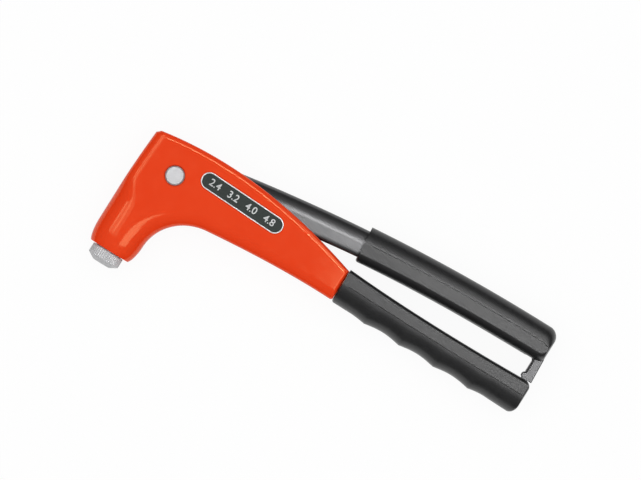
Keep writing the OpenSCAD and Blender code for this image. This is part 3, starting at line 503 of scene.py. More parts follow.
def fixed_grip_rims():
    """Rounded rims of the fixed grip, half round below with finger ridges and flat sided above."""
    rims = []
    round_drop = GRIP_HALF - ROUND_EDGE
    end_x = FIXED_GRIP_END - GRIP_CORNER
    end_flat_x = FIXED_GRIP_END - FIXED_GRIP_END_INSET - FLAT_CORNER
    end_top = fixed_top_at(end_x)
    under_xs = spread(FIXED_GRIP_START + MOUTH_CORNER, FINGER_FROM, PLAIN_STEPS)[:-1]
    under_xs += spread(FINGER_FROM, FINGER_TO, FINGER_COUNT * FINGER_STEPS)
    under_xs += [end_x - FIXED_END_RUN, end_x]
    mouth_flat = Vector((FIXED_GRIP_START, TANG_HEIGHT))
    for turn in spread(0, 90, CORNER_STEPS)[:-1]:
        rise = 1 - sind(turn)
        x = FIXED_GRIP_START + MOUTH_CORNER * (1 - cosd(turn))
        rims.append(rim(
            (x, finger_under_at(x) + MOUTH_CORNER * rise),
            mouth_flat + FLAT_CORNER * Vector((1 - cosd(turn), rise)), round_drop))
    for x in under_xs:
        t = (x - FIXED_GRIP_START) / (end_x - FIXED_GRIP_START)
        rims.append(rim(
            (x, finger_under_at(x)),
            (between(FIXED_GRIP_START, end_flat_x, t), TANG_HEIGHT - SEAM_BOW * sind(180 * t)),
            round_drop, SEAM_DEPTH if x > FIXED_SEAM_START else 0))
    for t in spread(0, 1, FIXED_END_STEPS)[1:]:
        turn = 90 * t
        rims.append(rim(
            (end_x + GRIP_CORNER * sind(turn),
             finger_under_at(end_x) + FIXED_HEEL_STRETCH * GRIP_CORNER * (1 - cosd(turn))),
            Vector((end_flat_x, TANG_HEIGHT)) + FLAT_CORNER * Vector((sind(turn), 1 - cosd(turn))),
            between(round_drop, GRIP_EDGE, soft(t))))
    for turn in spread(0, 90, FIXED_END_STEPS):
        rims.append(rim(
            Vector((end_x, end_top - GRIP_CORNER)) + GRIP_CORNER * Vector((cosd(turn), sind(turn))),
            Vector((end_flat_x, end_top - FIXED_GRIP_INSET - FLAT_CORNER))
            + FLAT_CORNER * Vector((cosd(turn), sind(turn))), GRIP_EDGE))
    for t in spread(0, 1, GRIP_TOP_STEPS)[1:]:
        x = between(end_x, FIXED_GRIP_START, t)
        flat_x = between(end_flat_x, FIXED_GRIP_START, t)
        rims.append(rim((x, fixed_top_at(x)), (flat_x, fixed_top_at(flat_x) - FIXED_GRIP_INSET), GRIP_EDGE))
    return rims


def new_piece(name, places, faces):
    """Object with a mesh from places in millimetres."""
    mesh = bpy.data.meshes.new(name)
    mesh.from_pydata([Vector(place) * MM for place in places], [], faces)
    mesh.validate()
    piece = bpy.data.objects.new(name, mesh)
    scene.collection.objects.link(piece)
    return piece


def pillow(name, rims, thickness, turns, paired=0):
    """Closed shape with flat sides and rounded rims; a seam is a fine groove beside the flat side.

    The sides may bend between the paired rims, which are the first ones and as many at the end.
    """
    levels = [(-1, turn, sink) for turn, sink in reversed(turns)]
    levels += [(1, turn, sink) for turn, sink in turns]
    count = len(rims)
    places = []
    for side, turn, sink in levels:
        for outer, flat, drop, seam, side_sink in rims:
            p = flat + (outer - flat) * cosd(turn)
            z = side * (thickness - side_sink - drop * (1 - sind(turn)) - sink * seam)
            places.append((p.x, p.y, z))
    last = (len(levels) - 1) * count
    flats = [list(range(paired, count - paired))]
    flats += [[k, k + 1, count - 2 - k, count - 1 - k] for k in range(paired)]
    faces = [list(reversed(flat)) for flat in flats]
    faces += [[last + k for k in flat] for flat in flats]
    for j in range(len(levels) - 1):
        for i in range(count):
            a = j * count + i
            b = j * count + (i + 1) % count
            faces.append([a, b, b + count, a + count])
    return new_piece(name, places, faces)


def stack(name, loops):
    """Closed shape from loops of as many places each, with flat ends."""
    count = len(loops[0])
    last = (len(loops) - 1) * count
    faces = [list(reversed(range(count))), [last + k for k in range(count)]]
    for start in range(0, last, count):
        for k in range(count):
            a = start + k
            b = start + (k + 1) % count
            faces.append([a, b, b + count, a + count])
    return new_piece(name, [place for loop in loops for place in loop], faces)


def prism(name, outline, low, high):
    """Plate along Z from a counterclockwise outline."""
    return stack(name, [[(p[0], p[1], z) for p in outline] for z in (low, high)])


def tang_run(name, outline, start, stop):
    """Run along X of an outline given as height over the tang centre and depth."""
    return stack(name, [[(x, TANG_HEIGHT + p[0], p[1]) for p in outline] for x in (start, stop)])


def half_round(r, lip):
    """Half round with straight sides above it, open upwards, seen along X."""
    bow = [(-r * sind(turn), -r * cosd(turn)) for turn in spread(0, 180, TANG_STEPS)]
    return [(lip, -r)] + bow + [(lip, r)]


def lathe(name, profile, place, steps, radius=None):
    """Turned shape from a closed list of (height, radius) along an axis.

    place puts (height, along, across) in the tool; radius may change a radius by height and turn.
    """
    places = []
    for height, r in profile:
        for k in range(steps):
            turn = 360 * k / steps
            reach = radius(height, r, turn) if radius else r
            places.append(place(height, reach * cosd(turn), reach * sind(turn)))
    faces = []
    rows = len(profile)
    for j in range(rows):
        for k in range(steps):
            a = j * steps + k
            b = j * steps + (k + 1) % steps
            c = (j + 1) % rows * steps + (k + 1) % steps
            d = (j + 1) % rows * steps + k
            faces.append([a, b, c, d])
    return new_piece(name, places, faces)


def clean(piece):
    """Joins doubled points, drops empty faces and turns all faces outwards."""
    shape = bmesh.new()
    shape.from_mesh(piece.data)
    bmesh.ops.remove_doubles(shape, verts=shape.verts, dist=JOIN_GAP * MM)
    bmesh.ops.dissolve_degenerate(shape, edges=shape.edges, dist=THIN_FACE * MM)
    bmesh.ops.recalc_face_normals(shape, faces=shape.faces)
    shape.to_mesh(piece.data)
    shape.free()
    return piece


def along_y(height, along, across):
    return across, height, along


def at_place(place):
    def put(height, along, across):
        return place.x + along, place.y + across, height
    return put


def drum(name, place, low, high, r):
    """Round bar between two heights, for cuts."""
    return clean(lathe(name, [(low, 0), (low, r), (high, r), (high, 0)], place, TURN_STEPS))


def bake(piece):
    """Gives the piece the mesh that its modifiers make."""
    depsgraph = bpy.context.evaluated_depsgraph_get()
    mesh = bpy.data.meshes.new_from_object(piece.evaluated_get(depsgraph))
    piece.modifiers.clear()
    piece.data = mesh
    mesh.name = piece.name


def combine(piece, other, operation="DIFFERENCE"):
    """Cuts another shape out of the piece, or joins it on; the other one is used up."""
    modifier = piece.modifiers.new("combine", "BOOLEAN")
    modifier.operation = operation
    modifier.solver = "EXACT"
    modifier.object = other
    bake(piece)
    bpy.data.objects.remove(other)
    return piece


def shade(piece, sharp=SHARP_ANGLE):
    """Shades the rounded rims smooth and the flat sides flat, with edges sharp past an angle."""
    clean(piece)
    mesh = piece.data
    mesh.polygons.foreach_set("use_smooth", [True] * len(mesh.polygons))
    mesh.set_sharp_from_angle(angle=math.radians(sharp))
    normals = piece.modifiers.new("normals", "WEIGHTED_NORMAL")
    normals.keep_sharp = True
    normals.weight = FLAT_WEIGHT
    return piece


def dress(piece, body, slot, material, *nodes):
    """Puts a piece on its body with its material and hides the nodes that it stands for; the slot is not
    used.
    """
    piece.data.materials.clear()
    piece.data.materials.append(material)
    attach(piece, body)
    if nodes:
        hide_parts(*nodes)
    return piece


# Range of a noise that is spread over the change it drives
NOISE_LOW = 0.3
NOISE_HIGH = 0.7
# Sizes of the clouds and patches of a metal in grains, and the shares by which it varies
CLOUD_GRAINS = 6
PATCH_GRAINS = 3
METAL_DARK = 0.96
METAL_LIGHT = 1.03
METAL_ROUGH = 1.2
GRAIN_HEIGHT = 0.01


class Finish:
    """Material with a principled shader and helpers for the textures that drive it."""

    def __init__(self, name, colour, roughness, metallic=0.0):
        self.material = bpy.data.materials.new(name)
        self.material.use_nodes = True
        self.tree = self.material.node_tree
        self.shader = self.tree.nodes["Principled BSDF"]
        self.set("Base Color", (*colour, 1))
        self.set("Roughness", roughness)
        self.set("Metallic", metallic)
        self.place = self.tree.nodes.new("ShaderNodeTexCoord").outputs["Object"]

    def set(self, socket, value):
        self.shader.inputs[socket].default_value = value

    def link(self, source, target):
        self.tree.links.new(source, target)

    def noise(self, size, detail=3.0, stretch=(1, 1, 1)):
        """Noise with features of about this size in millimetres, drawn out along an axis by stretch."""
        mapping = self.tree.nodes.new("ShaderNodeMapping")
        mapping.inputs["Scale"].default_value = [1 / (size * MM * s) for s in stretch]
        self.link(self.place, mapping.inputs["Vector"])
        noise = self.tree.nodes.new("ShaderNodeTexNoise")
        noise.inputs["Scale"].default_value = 1
        noise.inputs["Detail"].default_value = detail
        self.link(mapping.outputs["Vector"], noise.inputs["Vector"])
        return noise.outputs["Fac"]

    def vary_colour(self, source, dark, light):
        ramp = self.tree.nodes.new("ShaderNodeValToRGB")
        ramp.color_ramp.elements[0].position = NOISE_LOW
        ramp.color_ramp.elements[0].color = (*dark, 1)
        ramp.color_ramp.elements[1].position = NOISE_HIGH
        ramp.color_ramp.elements[1].color = (*light, 1)
        self.link(source, ramp.inputs["Fac"])
        self.link(ramp.outputs["Color"], self.shader.inputs["Base Color"])

    def vary_roughness(self, source, low, high):
        spread_out = self.tree.nodes.new("ShaderNodeMapRange")
        spread_out.inputs["From Min"].default_value = NOISE_LOW
        spread_out.inputs["From Max"].default_value = NOISE_HIGH
        spread_out.inputs["To Min"].default_value = low
        spread_out.inputs["To Max"].default_value = high
        self.link(source, spread_out.inputs["Value"])
        self.link(spread_out.outputs["Result"], self.shader.inputs["Roughness"])

    def bump(self, source, height, strength):
        bump = self.tree.nodes.new("ShaderNodeBump")
        bump.inputs["Distance"].default_value = height * MM
        bump.inputs["Strength"].default_value = strength
        self.link(source, bump.inputs["Height"])
        self.link(bump.outputs["Normal"], self.shader.inputs["Normal"])


def make_paint():
    finish = Finish("paint", (0.77, 0.043, 0.0075), roughness=0.09)
    finish.set("Specular Tint", (1, 0.8, 0.4, 1))
    finish.set("Specular IOR Level", 0.58)
    finish.vary_colour(finish.noise(size=22), dark=(0.76, 0.041, 0.007), light=(0.78, 0.045, 0.008))
    finish.vary_roughness(finish.noise(size=6), low=0.08, high=0.13)
    finish.bump(finish.noise(size=1.6, detail=2), height=0.02, strength=0.05)
    return finish.material


def make_grip():
    finish = Finish("soft_grip", (0.014, 0.014, 0.0145), roughness=0.32)
    finish.vary_colour(finish.noise(size=3), dark=(0.012, 0.012, 0.0125), light=(0.016, 0.016, 0.0165))
    finish.vary_roughness(finish.noise(size=1.2), low=0.29, high=0.36)
    finish.bump(finish.noise(size=0.5, detail=4), height=0.03, strength=0.25)
    return finish.material


def make_metal(name, colour, metallic, roughness, grain, stretch=(1, 1, 1), relief=0.05):
    """Metal with a fine grain; stretch draws it out along the brushing, and roughness is its smoothest."""
    finish = Finish(name, colour, roughness, metallic)
    clouds = finish.noise(grain * CLOUD_GRAINS, stretch=stretch)
    patches = finish.noise(grain * PATCH_GRAINS, stretch=stretch)
    dark = [c * METAL_DARK for c in colour]
    light = [c * METAL_LIGHT for c in colour]
    finish.vary_colour(clouds, dark, light)
    finish.vary_roughness(patches, low=roughness, high=roughness * METAL_ROUGH)
    if relief:
        finish.bump(finish.noise(grain, stretch=stretch), height=GRAIN_HEIGHT, strength=relief)
    return finish.material


def make_badge_coat():
    finish = Finish("badge_field", (0.017, 0.024, 0.021), roughness=0.45)
    finish.set("Specular IOR Level", 0.2)
    finish.vary_colour(finish.noise(size=0.9), dark=(0.015, 0.022, 0.019), light=(0.019, 0.026, 0.023))
    finish.bump(finish.noise(size=0.35, detail=2), height=0.02, strength=0.3)
    return finish.material


PAINT = make_paint()
GRIP = make_grip()
BRIGHT_STEEL = make_metal("bright_steel", (0.45, 0.45, 0.46), metallic=0.5, roughness=0.3, grain=0.6,
                          relief=0)
NOSE_STEEL = make_metal("nose_steel", (0.52, 0.52, 0.53), metallic=0.2, roughness=0.5, grain=0.6, relief=0)
LEVER_STEEL = make_metal("lever_steel", (0.112, 0.112, 0.114), metallic=0.95, roughness=0.28, grain=0.5,
                         stretch=(14, 1, 1), relief=0)
LATCH_STEEL = make_metal("latch_steel", (0.095, 0.095, 0.097), metallic=0.9, roughness=0.32, grain=0.2,
                         stretch=(1, 10, 1), relief=0.12)
INNER_STEEL = make_metal("inner_steel", (0.5, 0.5, 0.51), metallic=0.9, roughness=0.32, grain=0.2)
JAW_STEEL = make_metal("jaw_steel", (0.28, 0.28, 0.3), metallic=0.9, roughness=0.36, grain=0.2)
SPRING_STEEL = make_metal("spring_steel", (0.5, 0.51, 0.53), metallic=0.95, roughness=0.28, grain=0.3)
BADGE_RIM_METAL = make_metal("badge_rim", (0.66, 0.67, 0.67), metallic=0.4, roughness=0.3, grain=0.3)
BADGE_NUMBER_METAL = make_metal("badge_number", (0.4, 0.41, 0.41), metallic=0.4, roughness=0.3, grain=0.3)
BADGE_FIELD = make_badge_coat()


def rim_turns(steps, last=90):
    """Turns of a rounded rim, each with no seam."""
    return [(turn, 0) for turn in spread(0, last, steps)]


# Turns with a seam, which is a groove between two of them
SEAM_TURNS = rim_turns(RIM_STEPS, 84) + [(86.4, 0), (87.2, 1), (88.0, 1), (88.8, 0), (90, 0)]


def capsule(r):
    """Outline with round ends of the badge."""
    along = BADGE_REAR - BADGE_FRONT
    lean = math.degrees(math.atan2(along.y, along.x))
    front_end = arc(BADGE_FRONT, r, lean + 90, lean + 270, CAPSULE_STEPS)
    rear_end = arc(BADGE_REAR, r, lean - 90, lean + 90, CAPSULE_STEPS)
    return front_end + rear_end


def cavity_outline():
    arm_stop = BODY_END - END_WALL
    above = max(BODY_TOP) + 2 * OVER
    roof_under = BODY_TOP[0] - ROOF_WALL
    front = -FRONT_REACH + FRONT_WALL
    outline = [(front, SLEEVE_TOP), (CAVITY_STEP, SLEEVE_TOP)]
    outline += [(x, body_under_at(x) + FLOOR_WALL) for x in spread(CROTCH_END.x, arm_stop, CAVITY_STEPS)]
    outline += [(arm_stop, above), (ROOF_END, above), (ROOF_END, roof_under), (front, roof_under)]
    return outline


def make_body():
    body = pillow("body_shell", body_rims(), HALF, rim_turns(RIM_STEPS), NOSE_STEPS)
    combine(body, prism("cut", cavity_outline(), -CAVITY_HALF, CAVITY_HALF))
    tang = half_round(TANG_R, TANG_LIP) + list(reversed(half_round(TANG_R - TANG_WALL, TANG_LIP)))
    combine(body, clean(tang_run("tang", tang, BODY_END - END_WALL / 2, TANG_END)), "UNION")
    combine(body, drum("cut", along_y, NOSE_END - OVER, SLEEVE_TOP + OVER, SLEEVE_OUTER + SEAT_GAP))
    clip_floor = -HALF + CLIP_SEAT_DEPTH
    head_floor = HALF - PIN_SEAT_DEPTH
    pin_hole = [(-HALF - OVER, 0), (-HALF - OVER, CLIP_SEAT_R), (clip_floor, CLIP_SEAT_R)]
    pin_hole += [(clip_floor, PIN_R + SEAT_GAP), (head_floor, PIN_R + SEAT_GAP)]
    pin_hole += [(head_floor, PIN_SEAT_R), (HALF + OVER, PIN_SEAT_R), (HALF + OVER, 0)]
    combine(body, clean(lathe("cut", pin_hole, at_place(PIVOT), TURN_STEPS)))
    combine(body, drum("cut", at_place(CATCH), -TANG_R - OVER, TANG_R + OVER, CATCH_R + SEAT_GAP))
    combine(body, prism("cut", capsule(BADGE_R + BADGE_GAP), HALF - BADGE_RECESS, HALF + OVER))
    shade(body)
    return dress(body, "frame", "paint", PAINT, "body")


def make_nosepiece():
    slope = NOSE_CHAMFER / (NOSE_R - NOSE_TIP_R)
    chamfer_heights = spread(CHAMFER_START, NOSE_CHAMFER - CHAMFER_STOP, CHAMFER_STEPS)
    knurl_heights = spread(NOSE_CHAMFER + KNURL_START, NOSE_LEN - KNURL_STOP, KNURL_STEPS)
    low_edge = [(NOSE_CHAMFER + 0.15, NOSE_R - 0.03), (NOSE_CHAMFER + 0.4, NOSE_R)]
    top_edge = [(NOSE_LEN - 0.1, NOSE_R - 0.2), (NOSE_LEN, NOSE_R - 0.5)]

    def fluted(height, r, turn):
        groove = (1 - cosd(KNURL_COUNT * turn)) / 2
        if height <= NOSE_LEN and r > NOSE_TIP_R:
            return min(r, NOSE_R - KNURL_DEPTH * groove)
        return r

    # Tip with rounded edges, its chamfer, the knurl with a rounded edge on both ends, and the shank
    profile = [(NOSE_EDGE, MANDREL_R), (0, MANDREL_R + NOSE_EDGE), (0, NOSE_TIP_R - NOSE_EDGE)]
    profile += [(NOSE_EDGE * slope, NOSE_TIP_R + NOSE_EDGE)]
    profile += [(y, NOSE_TIP_R + y / slope) for y in chamfer_heights]
    profile += low_edge + [(y, NOSE_R) for y in knurl_heights] + top_edge
    profile += [(NOSE_LEN, NECK_R), (NOSE_END, NECK_R), (NOSE_END, SHANK_R)]
    profile += [(SHANK_TOP, SHANK_R), (SHANK_TOP, MANDREL_R)]
    nose = lathe("nosepiece_knurled", profile, along_y, KNURL_COUNT * FLUTE_STEPS, fluted)
    shade(nose, TURNED_SHARP_ANGLE)
    return dress(nose, "frame", "bright_steel", NOSE_STEEL, "nosepiece")


def make_pivot_pin():
    end = -GRIP_HALF
    top = HALF + PIN_HEAD_PROUD
    under = HALF - PIN_SEAT_DEPTH
    profile = [(end, 0), (end, PIN_R - PIN_END_CHAMFER), (end + PIN_END_CHAMFER, PIN_R), (GROOVE[0], PIN_R)]
    profile += [(GROOVE[0], GROOVE_R), (GROOVE[1], GROOVE_R), (GROOVE[1], PIN_R)]
    profile += [(under, PIN_R), (under, PIN_HEAD_R)]
    profile += [(top - PIN_CHAMFER, PIN_HEAD_R), (top, PIN_HEAD_R - PIN_CHAMFER)]
    profile += [(top, PIN_FACE_R), (top, 0)]
    pin = lathe("pivot_pin_headed", profile, at_place(PIVOT), TURN_STEPS)
    shade(pin, TURNED_SHARP_ANGLE)
    return dress(pin, "frame", "bright_steel", BRIGHT_STEEL, "pivot_pin")


def make_badge_frame():
    inner = BADGE_R - BADGE_RIM
    top = HALF + BADGE_PROUD
    turns = spread(0, 90, BADGE_RIM_STEPS)
    steps = [(BADGE_R, HALF - BADGE_RECESS), (BADGE_R, top - BADGE_RIM_ROUND)]
    steps += [(BADGE_R - BADGE_RIM_ROUND * (1 - cosd(turn)), top - BADGE_RIM_ROUND * (1 - sind(turn)))
              for turn in turns[1:]]
    steps += [(inner + BADGE_RIM_ROUND * (1 - sind(turn)), top - BADGE_RIM_ROUND * (1 - cosd(turn)))
              for turn in turns]
    steps += [(inner, HALF)]
    plate = stack("badge_frame", [[(p.x, p.y, z) for p in capsule(r)] for r, z in steps])
    shade(plate)
    return dress(plate, "frame", "badge_rim", BADGE_RIM_METAL, "badge_plate")


def make_badge_field():
    field = prism("badge_ground", capsule(BADGE_R - BADGE_RIM - SEAT_GAP), HALF, FIELD_TOP)
    shade(field)
    return dress(field, "frame", "badge_field", BADGE_FIELD, "badge_inlay")


def make_badge_numbers():
    """Plain rivet sizes that stand a little above the field of the badge."""
    words = bpy.data.curves.new("badge_sizes", "FONT")
    words.body = "2.4   3.2   4.0   4.8"
    words.size = NUMBER_HEIGHT * MM
    words.offset = NUMBER_WEIGHT * MM
    words.extrude = NUMBER_HALF_DEPTH * MM
    words.align_x = "CENTER"
    words.align_y = "CENTER"
    text = bpy.data.objects.new("badge_sizes", words)
    scene.collection.objects.link(text)
    depsgraph = bpy.context.evaluated_depsgraph_get()
    mesh = bpy.data.meshes.new_from_object(text.evaluated_get(depsgraph))
    bpy.data.objects.remove(text)
    along = BADGE_REAR - BADGE_FRONT
    middle = (BADGE_FRONT + BADGE_REAR) / 2
    turn = Matrix.Rotation(math.atan2(along.y, along.x), 4, "Z")
    shift = Matrix.Translation(Vector((middle.x, middle.y, FIELD_TOP + NUMBER_LIFT)) * MM)
    mesh.transform(shift @ turn)
    numbers = bpy.data.objects.new("badge_numbers", mesh)
    scene.collection.objects.link(numbers)
    return dress(numbers, "frame", "badge_rim", BADGE_NUMBER_METAL)


def channel_outline(depth):
    """Outline of the channel in the lever, at a depth below its top edge."""
    below = PIVOT.y - 4 * LEVER_BOSS_R
    front = FORK_TIP.x - 2 * FORK_TIP_R
    rear = LEVER_END + OVER
    outline = [(front, below), (rear, below), (rear, lever_top_at(LEVER_END) - depth)]
    outline += [(x, lever_top_at(x) - depth) for x in spread(LEVER_END, WEB_START, LEVER_TOP_STEPS)[1:]]
    outline += [(WEB_START, max(LEVER_TOP)), (front, max(LEVER_TOP))]
    return outline


def make_lever():
    lever = pillow("lever_folded", lever_rims(), LEVER_HALF, rim_turns(LEVER_RIM_STEPS))
    inner_half = CHANNEL_HALF - FOLD_INNER[1]
    combine(lever, prism("cut", channel_outline(SHEET + FOLD_INNER[0]), -CHANNEL_HALF, CHANNEL_HALF))
    combine(lever, prism("cut", channel_outline(SHEET), -inner_half, inner_half))
    combine(lever, drum("cut", at_place(PIVOT), -HALF, HALF, PIN_R + RUN_GAP))
    combine(lever, drum("cut", at_place(LATCH_PIN), -HALF, HALF, LATCH_PIN_R + SEAT_GAP))
    shade(lever)
    return dress(lever, "lever", "lever_steel", LEVER_STEEL, "lever_arm")


def make_lever_grip():
    grip = pillow("lever_sleeve", lever_grip_rims(), GRIP_HALF, SEAM_TURNS)
    under_xs = spread(UNDER_START, LEVER_END, LEVER_UNDER_STEPS)
    top_xs = spread(LEVER_END, CHANNEL_START, LEVER_TOP_STEPS)
    hollow = [(CHANNEL_START, lever_under_at(UNDER_START) - GRIP_SKIN)]
    hollow += [(x, lever_under_at(x) - RUN_GAP) for x in under_xs[1:-1]]
    hollow += [(LEVER_END + RUN_GAP, lever_under_at(LEVER_END) - RUN_GAP)]
    hollow += [(LEVER_END + RUN_GAP, lever_top_at(LEVER_END) + RUN_GAP)]
    hollow += [(x, lever_top_at(x) + RUN_GAP) for x in top_xs[1:]]
    combine(grip, prism("cut", hollow, -LEVER_HALF - RUN_GAP, LEVER_HALF + RUN_GAP))
    slot_start = LATCH_PIN.x - LATCH_ROOM.x
    low = min(LEVER_UNDER) - 2 * GRIP_SKIN
    slot = [(slot_start, low), (LEVER_GRIP_END + OVER, low),
            (LEVER_GRIP_END + OVER, LATCH_PIN.y + LATCH_ROOM.y), (slot_start, LATCH_PIN.y + LATCH_ROOM.y)]
    combine(grip, prism("cut", slot, -SLOT_HALF, SLOT_HALF))
    shade(grip)
    return dress(grip, "lever", "grip", GRIP, "lever_grip")


def make_fixed_grip():
    grip = pillow("handle_sleeve", fixed_grip_rims(), GRIP_HALF, SEAM_TURNS)
    hollow = half_round(TANG_R + RUN_GAP, TANG_LIP + RUN_GAP)
    combine(grip, clean(tang_run("cut", hollow, FIXED_GRIP_START - OVER, TANG_END + RUN_GAP)))
    slot_start = CATCH.x - CATCH_R - CATCH_ROOM
    slot_floor = CATCH.y - CATCH_R - TOOTH_GAP - TOOTH_LEN - TOOTH_ROOM
    slot_top = TANG_HEIGHT + max(FIXED_GRIP_TOP) + OVER
    slot = [(slot_start, slot_floor), (FIXED_GRIP_END + OVER, slot_floor),
            (FIXED_GRIP_END + OVER, slot_top), (slot_start, slot_top)]
    combine(grip, prism("cut", slot, -SLOT_HALF, SLOT_HALF))
    shade(grip)
    return dress(grip, "frame", "grip", GRIP, "fixed_grip")


def latch_rims():
    """Rounded rims of the folded latch with its hook; the fold along its front is rounder."""
    catch = CATCH - LATCH_PIN
    boss_r = 3.2
    heel_y = -4.5
    neck_left = LATCH_NECK
    neck_right = 6.15
    tip_y = TANG_HEIGHT + 7.9 - LATCH_PIN.y
    tongue_left = catch.x + CATCH_R + 2.3
    tongue_right = neck_left + 3.8
    hook_y = catch.y - CATCH_R - TOOTH_GAP
    tooth_left = catch.x + CATCH_R + TOOTH_GAP
    nub_left = neck_left - 1.1
    edge = 0.3
    side_edge = 0.5
    fold = 1.8
    middle = Vector((0, 0))
    head = arc(middle, boss_r, 0, 180, LATCH_HEAD_STEPS)
    head_flat = arc(middle, boss_r - edge, 0, 180, LATCH_HEAD_STEPS)
    places = [(outer, flat, edge) for outer, flat in zip(head, head_flat)]
    places += [((-1, heel_y - 1.5), (edge - 0.6, heel_y - 1.5), edge),
               ((neck_left, heel_y - 4), (neck_left + fold, heel_y - 3.2), fold),
               ((neck_left, tip_y + 4), (neck_left + fold, tip_y + 3.6), fold),
               ((neck_left - 0.4, tip_y + 3.6), (neck_left + fold / 2, tip_y + 3.2), fold / 2),
               ((nub_left, tip_y + 2.8), (nub_left + side_edge, tip_y + 2.6), side_edge),
               ((nub_left, tip_y + 1.2), (nub_left + side_edge, tip_y + 1.4), side_edge),
               ((tongue_left, tip_y), (tongue_left + edge, tip_y + edge), edge),
               ((tongue_left, hook_y), (tongue_left + edge, hook_y - edge), edge),
               ((tooth_left, hook_y), (tooth_left + edge, hook_y - edge), edge),
               ((tooth_left, hook_y - 1), (tooth_left + edge, hook_y - 1), edge),
               ((tongue_left, hook_y - TOOTH_LEN), (tongue_left + edge, hook_y - TOOTH_LEN + edge), edge),
               ((tongue_right - 1, hook_y - TOOTH_LEN), (tongue_right - 1, hook_y - TOOTH_LEN + edge), edge),
               ((tongue_right, hook_y - TOOTH_LEN + 1), (tongue_right - edge, hook_y - TOOTH_LEN + 1), edge),
               ((tongue_right, tip_y), (tongue_right - edge, tip_y + edge), edge),
               ((neck_right + 0.8, tip_y), (neck_right + 0.8 - side_edge, tip_y + side_edge), side_edge),
               ((neck_right, heel_y), (neck_right - side_edge, heel_y), side_edge)]
    return [rim(LATCH_PIN + Vector(outer), LATCH_PIN + Vector(flat), drop) for outer, flat, drop in places]


def make_latch():
    latch = pillow("latch_plate", latch_rims(), LATCH_HALF, rim_turns(LATCH_RIM_STEPS))
    web_right = LATCH_NECK + LATCH_SHEET
    web_low = -16.5
    web_high = -8.5
    reach = 40
    hollow = [(reach, -reach), (reach, reach), (-reach, reach), (-reach, web_high), (web_right, web_high),
              (web_right, web_low), (-reach, web_low), (-reach, -reach)]
    hollow = [LATCH_PIN + Vector(p) for p in hollow]
    combine(latch, prism("cut", hollow, LATCH_SHEET - LATCH_HALF, LATCH_HALF - LATCH_SHEET))
    combine(latch, drum("cut", at_place(LATCH_PIN), -HALF, HALF, LATCH_PIN_R + RUN_GAP))
    shade(latch)
    return dress(latch, "latch", "latch_steel", LATCH_STEEL, "latch")


make_body()
make_nosepiece()
make_pivot_pin()
make_badge_frame()
make_badge_field()
make_badge_numbers()
make_lever()
make_lever_grip()
make_fixed_grip()
make_latch()

# Inner pieces and small pins keep their solids
NODE_FINISHES = {
    "barrel_sleeve": INNER_STEEL,
    "jaw_case": INNER_STEEL,
    "pull_tube": INNER_STEEL,
    "jaw_pusher": INNER_STEEL,
    "spring_seat": INNER_STEEL,
    "jaw_1": JAW_STEEL,
    "jaw_2": JAW_STEEL,
    "jaw_3": JAW_STEEL,
    "return_spring": SPRING_STEEL,
    "pivot_clip": SPRING_STEEL,
    "latch_pin": BRIGHT_STEEL,
    "latch_catch_pin": BRIGHT_STEEL,
}
for node_name, finish in NODE_FINISHES.items():
    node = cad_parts[node_name]
    for slot_place in node.material_slots:
        slot_place.material = finish


# Studio, in metres and degrees
PANEL_HEIGHT = 0.6
CAMERA_PLACE = (0.10006, 0.07822, 3.0717)
CAMERA_TURN = 32
CAMERA_LENS = 300
CAMERA_SENSOR = 36


def make_floor():
    """Pale floor under the tool, white to the camera and in reflections, with a faint shadow."""
    size = 30
    white_share = 0.93
    floor_z = cad_low.z
    corners = [(-size, -size), (size, -size), (size, size), (-size, size)]
    mesh = bpy.data.meshes.new("floor")
    mesh.from_pydata([(x, y, floor_z) for x, y in corners], [], [[0, 1, 2, 3]])
    floor = bpy.data.objects.new("floor", mesh)
    scene.collection.objects.link(floor)
    material = bpy.data.materials.new("floor")
    material.use_nodes = True
    tree = material.node_tree
    tree.nodes.clear()
    output = tree.nodes.new("ShaderNodeOutputMaterial")
    pale = tree.nodes.new("ShaderNodeBsdfDiffuse")
    pale.inputs["Color"].default_value = (0.85, 0.85, 0.85, 1)
    white = tree.nodes.new("ShaderNodeEmission")
    white.inputs["Strength"].default_value = 1
    path = tree.nodes.new("ShaderNodeLightPath")
    seen = path.outputs["Is Camera Ray"]
    for ray in ("Is Glossy Ray", "Is Transmission Ray"):
        either = tree.nodes.new("ShaderNodeMath")
        either.operation = "MAXIMUM"
        tree.links.new(seen, either.inputs[0])
        tree.links.new(path.outputs[ray], either.inputs[1])
        seen = either.outputs["Value"]
    share = tree.nodes.new("ShaderNodeMath")
    share.operation = "MULTIPLY"
    share.inputs[1].default_value = white_share
    tree.links.new(seen, share.inputs[0])
    mix = tree.nodes.new("ShaderNodeMixShader")
    tree.links.new(share.outputs["Value"], mix.inputs["Fac"])
    tree.links.new(pale.outputs["BSDF"], mix.inputs[1])
    tree.links.new(white.outputs["Emission"], mix.inputs[2])
    tree.links.new(mix.outputs["Shader"], output.inputs["Surface"])
    mesh.materials.append(material)


def make_world():
    """Low grey studio, darker towards the horizon."""
    world = bpy.data.worlds.new("studio")
    world.use_nodes = True
    scene.world = world
    tree = world.node_tree
    background = tree.nodes["Background"]
    place = tree.nodes.new("ShaderNodeTexCoord")
    split = tree.nodes.new("ShaderNodeSeparateXYZ")
    tree.links.new(place.outputs["Generated"], split.inputs["Vector"])
    ramp = tree.nodes.new("ShaderNodeValToRGB")
    ramp.color_ramp.elements[0].position = 0.05
    ramp.color_ramp.elements[0].color = (0.03, 0.03, 0.03, 1)
    ramp.color_ramp.elements[1].position = 0.95
    ramp.color_ramp.elements[1].color = (0.25, 0.25, 0.25, 1)
    tree.links.new(split.outputs["Z"], ramp.inputs["Fac"])
    tree.links.new(ramp.outputs["Color"], background.inputs["Color"])
    background.inputs["Strength"].default_value = 1


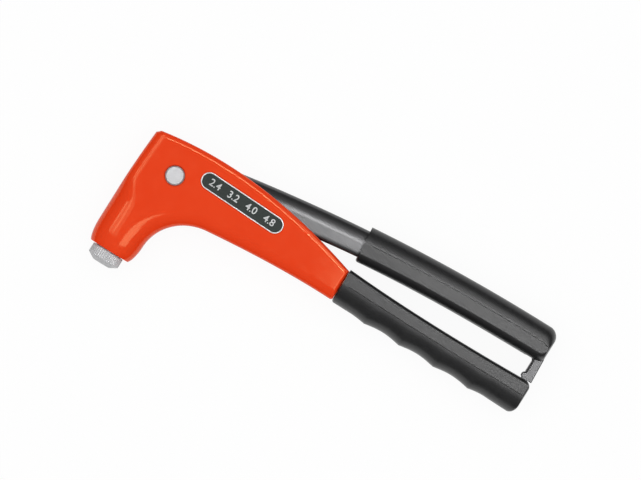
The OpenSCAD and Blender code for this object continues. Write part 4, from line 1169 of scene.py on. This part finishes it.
def softbox(name, place, aim, size, radiance, lights_shapes):
    """Flat lamp at a place, facing a point, in metres; it either lights shapes or shows in reflections."""
    light = bpy.data.lights.new(name, "AREA")
    light.shape = "RECTANGLE"
    light.size = size[0]
    light.size_y = size[1]
    light.energy = radiance * math.pi * size[0] * size[1]
    lamp = bpy.data.objects.new(name, light)
    lamp.location = place
    lamp.rotation_euler = (Vector(place) - Vector(aim)).to_track_quat("Z", "Y").to_euler()
    lamp.visible_camera = False
    lamp.visible_diffuse = lights_shapes
    lamp.visible_glossy = not lights_shapes
    scene.collection.objects.link(lamp)


def panel(name, low, high, radiance):
    """Softbox over the tool, flat between two corners, that shows in reflections."""
    middle = ((low[0] + high[0]) / 2, (low[1] + high[1]) / 2)
    size = (high[0] - low[0], high[1] - low[1])
    softbox(name, (*middle, PANEL_HEIGHT), (*middle, 0), size, radiance, lights_shapes=False)


def make_lights():
    middle = Vector((0.1, 0.07, 0))
    above = Vector((0, 0, 1.6))
    softbox("fill_above", middle + above, middle, size=(1.4, 1.4), radiance=1.45, lights_shapes=True)
    for turn in (0, 90, 180, 270):
        aside = Vector((cosd(turn), sind(turn), 1)) * 0.8
        softbox(f"fill_{turn}", middle + aside, middle, size=(1.2, 0.8), radiance=1.1, lights_shapes=True)
    panel("right_panel", (0.126, -0.12), (0.42, 0.165), 2.9)
    panel("right_panel_far", (0.17, 0.19), (0.42, 0.7), 2.6)
    panel("left_pane_far", (-0.4, -0.045), (-0.34, 0.35), 3.2)
    panel("left_pane_dim", (-0.34, -0.045), (-0.22, 0.35), 1.4)
    panel("left_pane_near", (-0.22, -0.045), (-0.17, 0.35), 3.2)
    panel("left_glow", (-0.17, -0.045), (-0.05, 0.3), 1)
    panel("top_strip", (-0.05, 0.165), (0.42, 0.19), 21)
    panel("top_glow", (-0.05, 0.19), (0.17, 0.3), 3.5)


def make_camera():
    """Camera straight above the tool, turned so that the handles run down to the right."""
    camera_data = bpy.data.cameras.new("camera")
    camera_data.lens = CAMERA_LENS
    camera_data.sensor_width = CAMERA_SENSOR
    camera = bpy.data.objects.new("camera", camera_data)
    camera.location = CAMERA_PLACE
    camera.rotation_euler = (0, 0, math.radians(CAMERA_TURN))
    scene.collection.objects.link(camera)
    scene.camera = camera


make_floor()
make_world()
make_lights()
make_camera()
scene.view_settings.view_transform = "Standard"
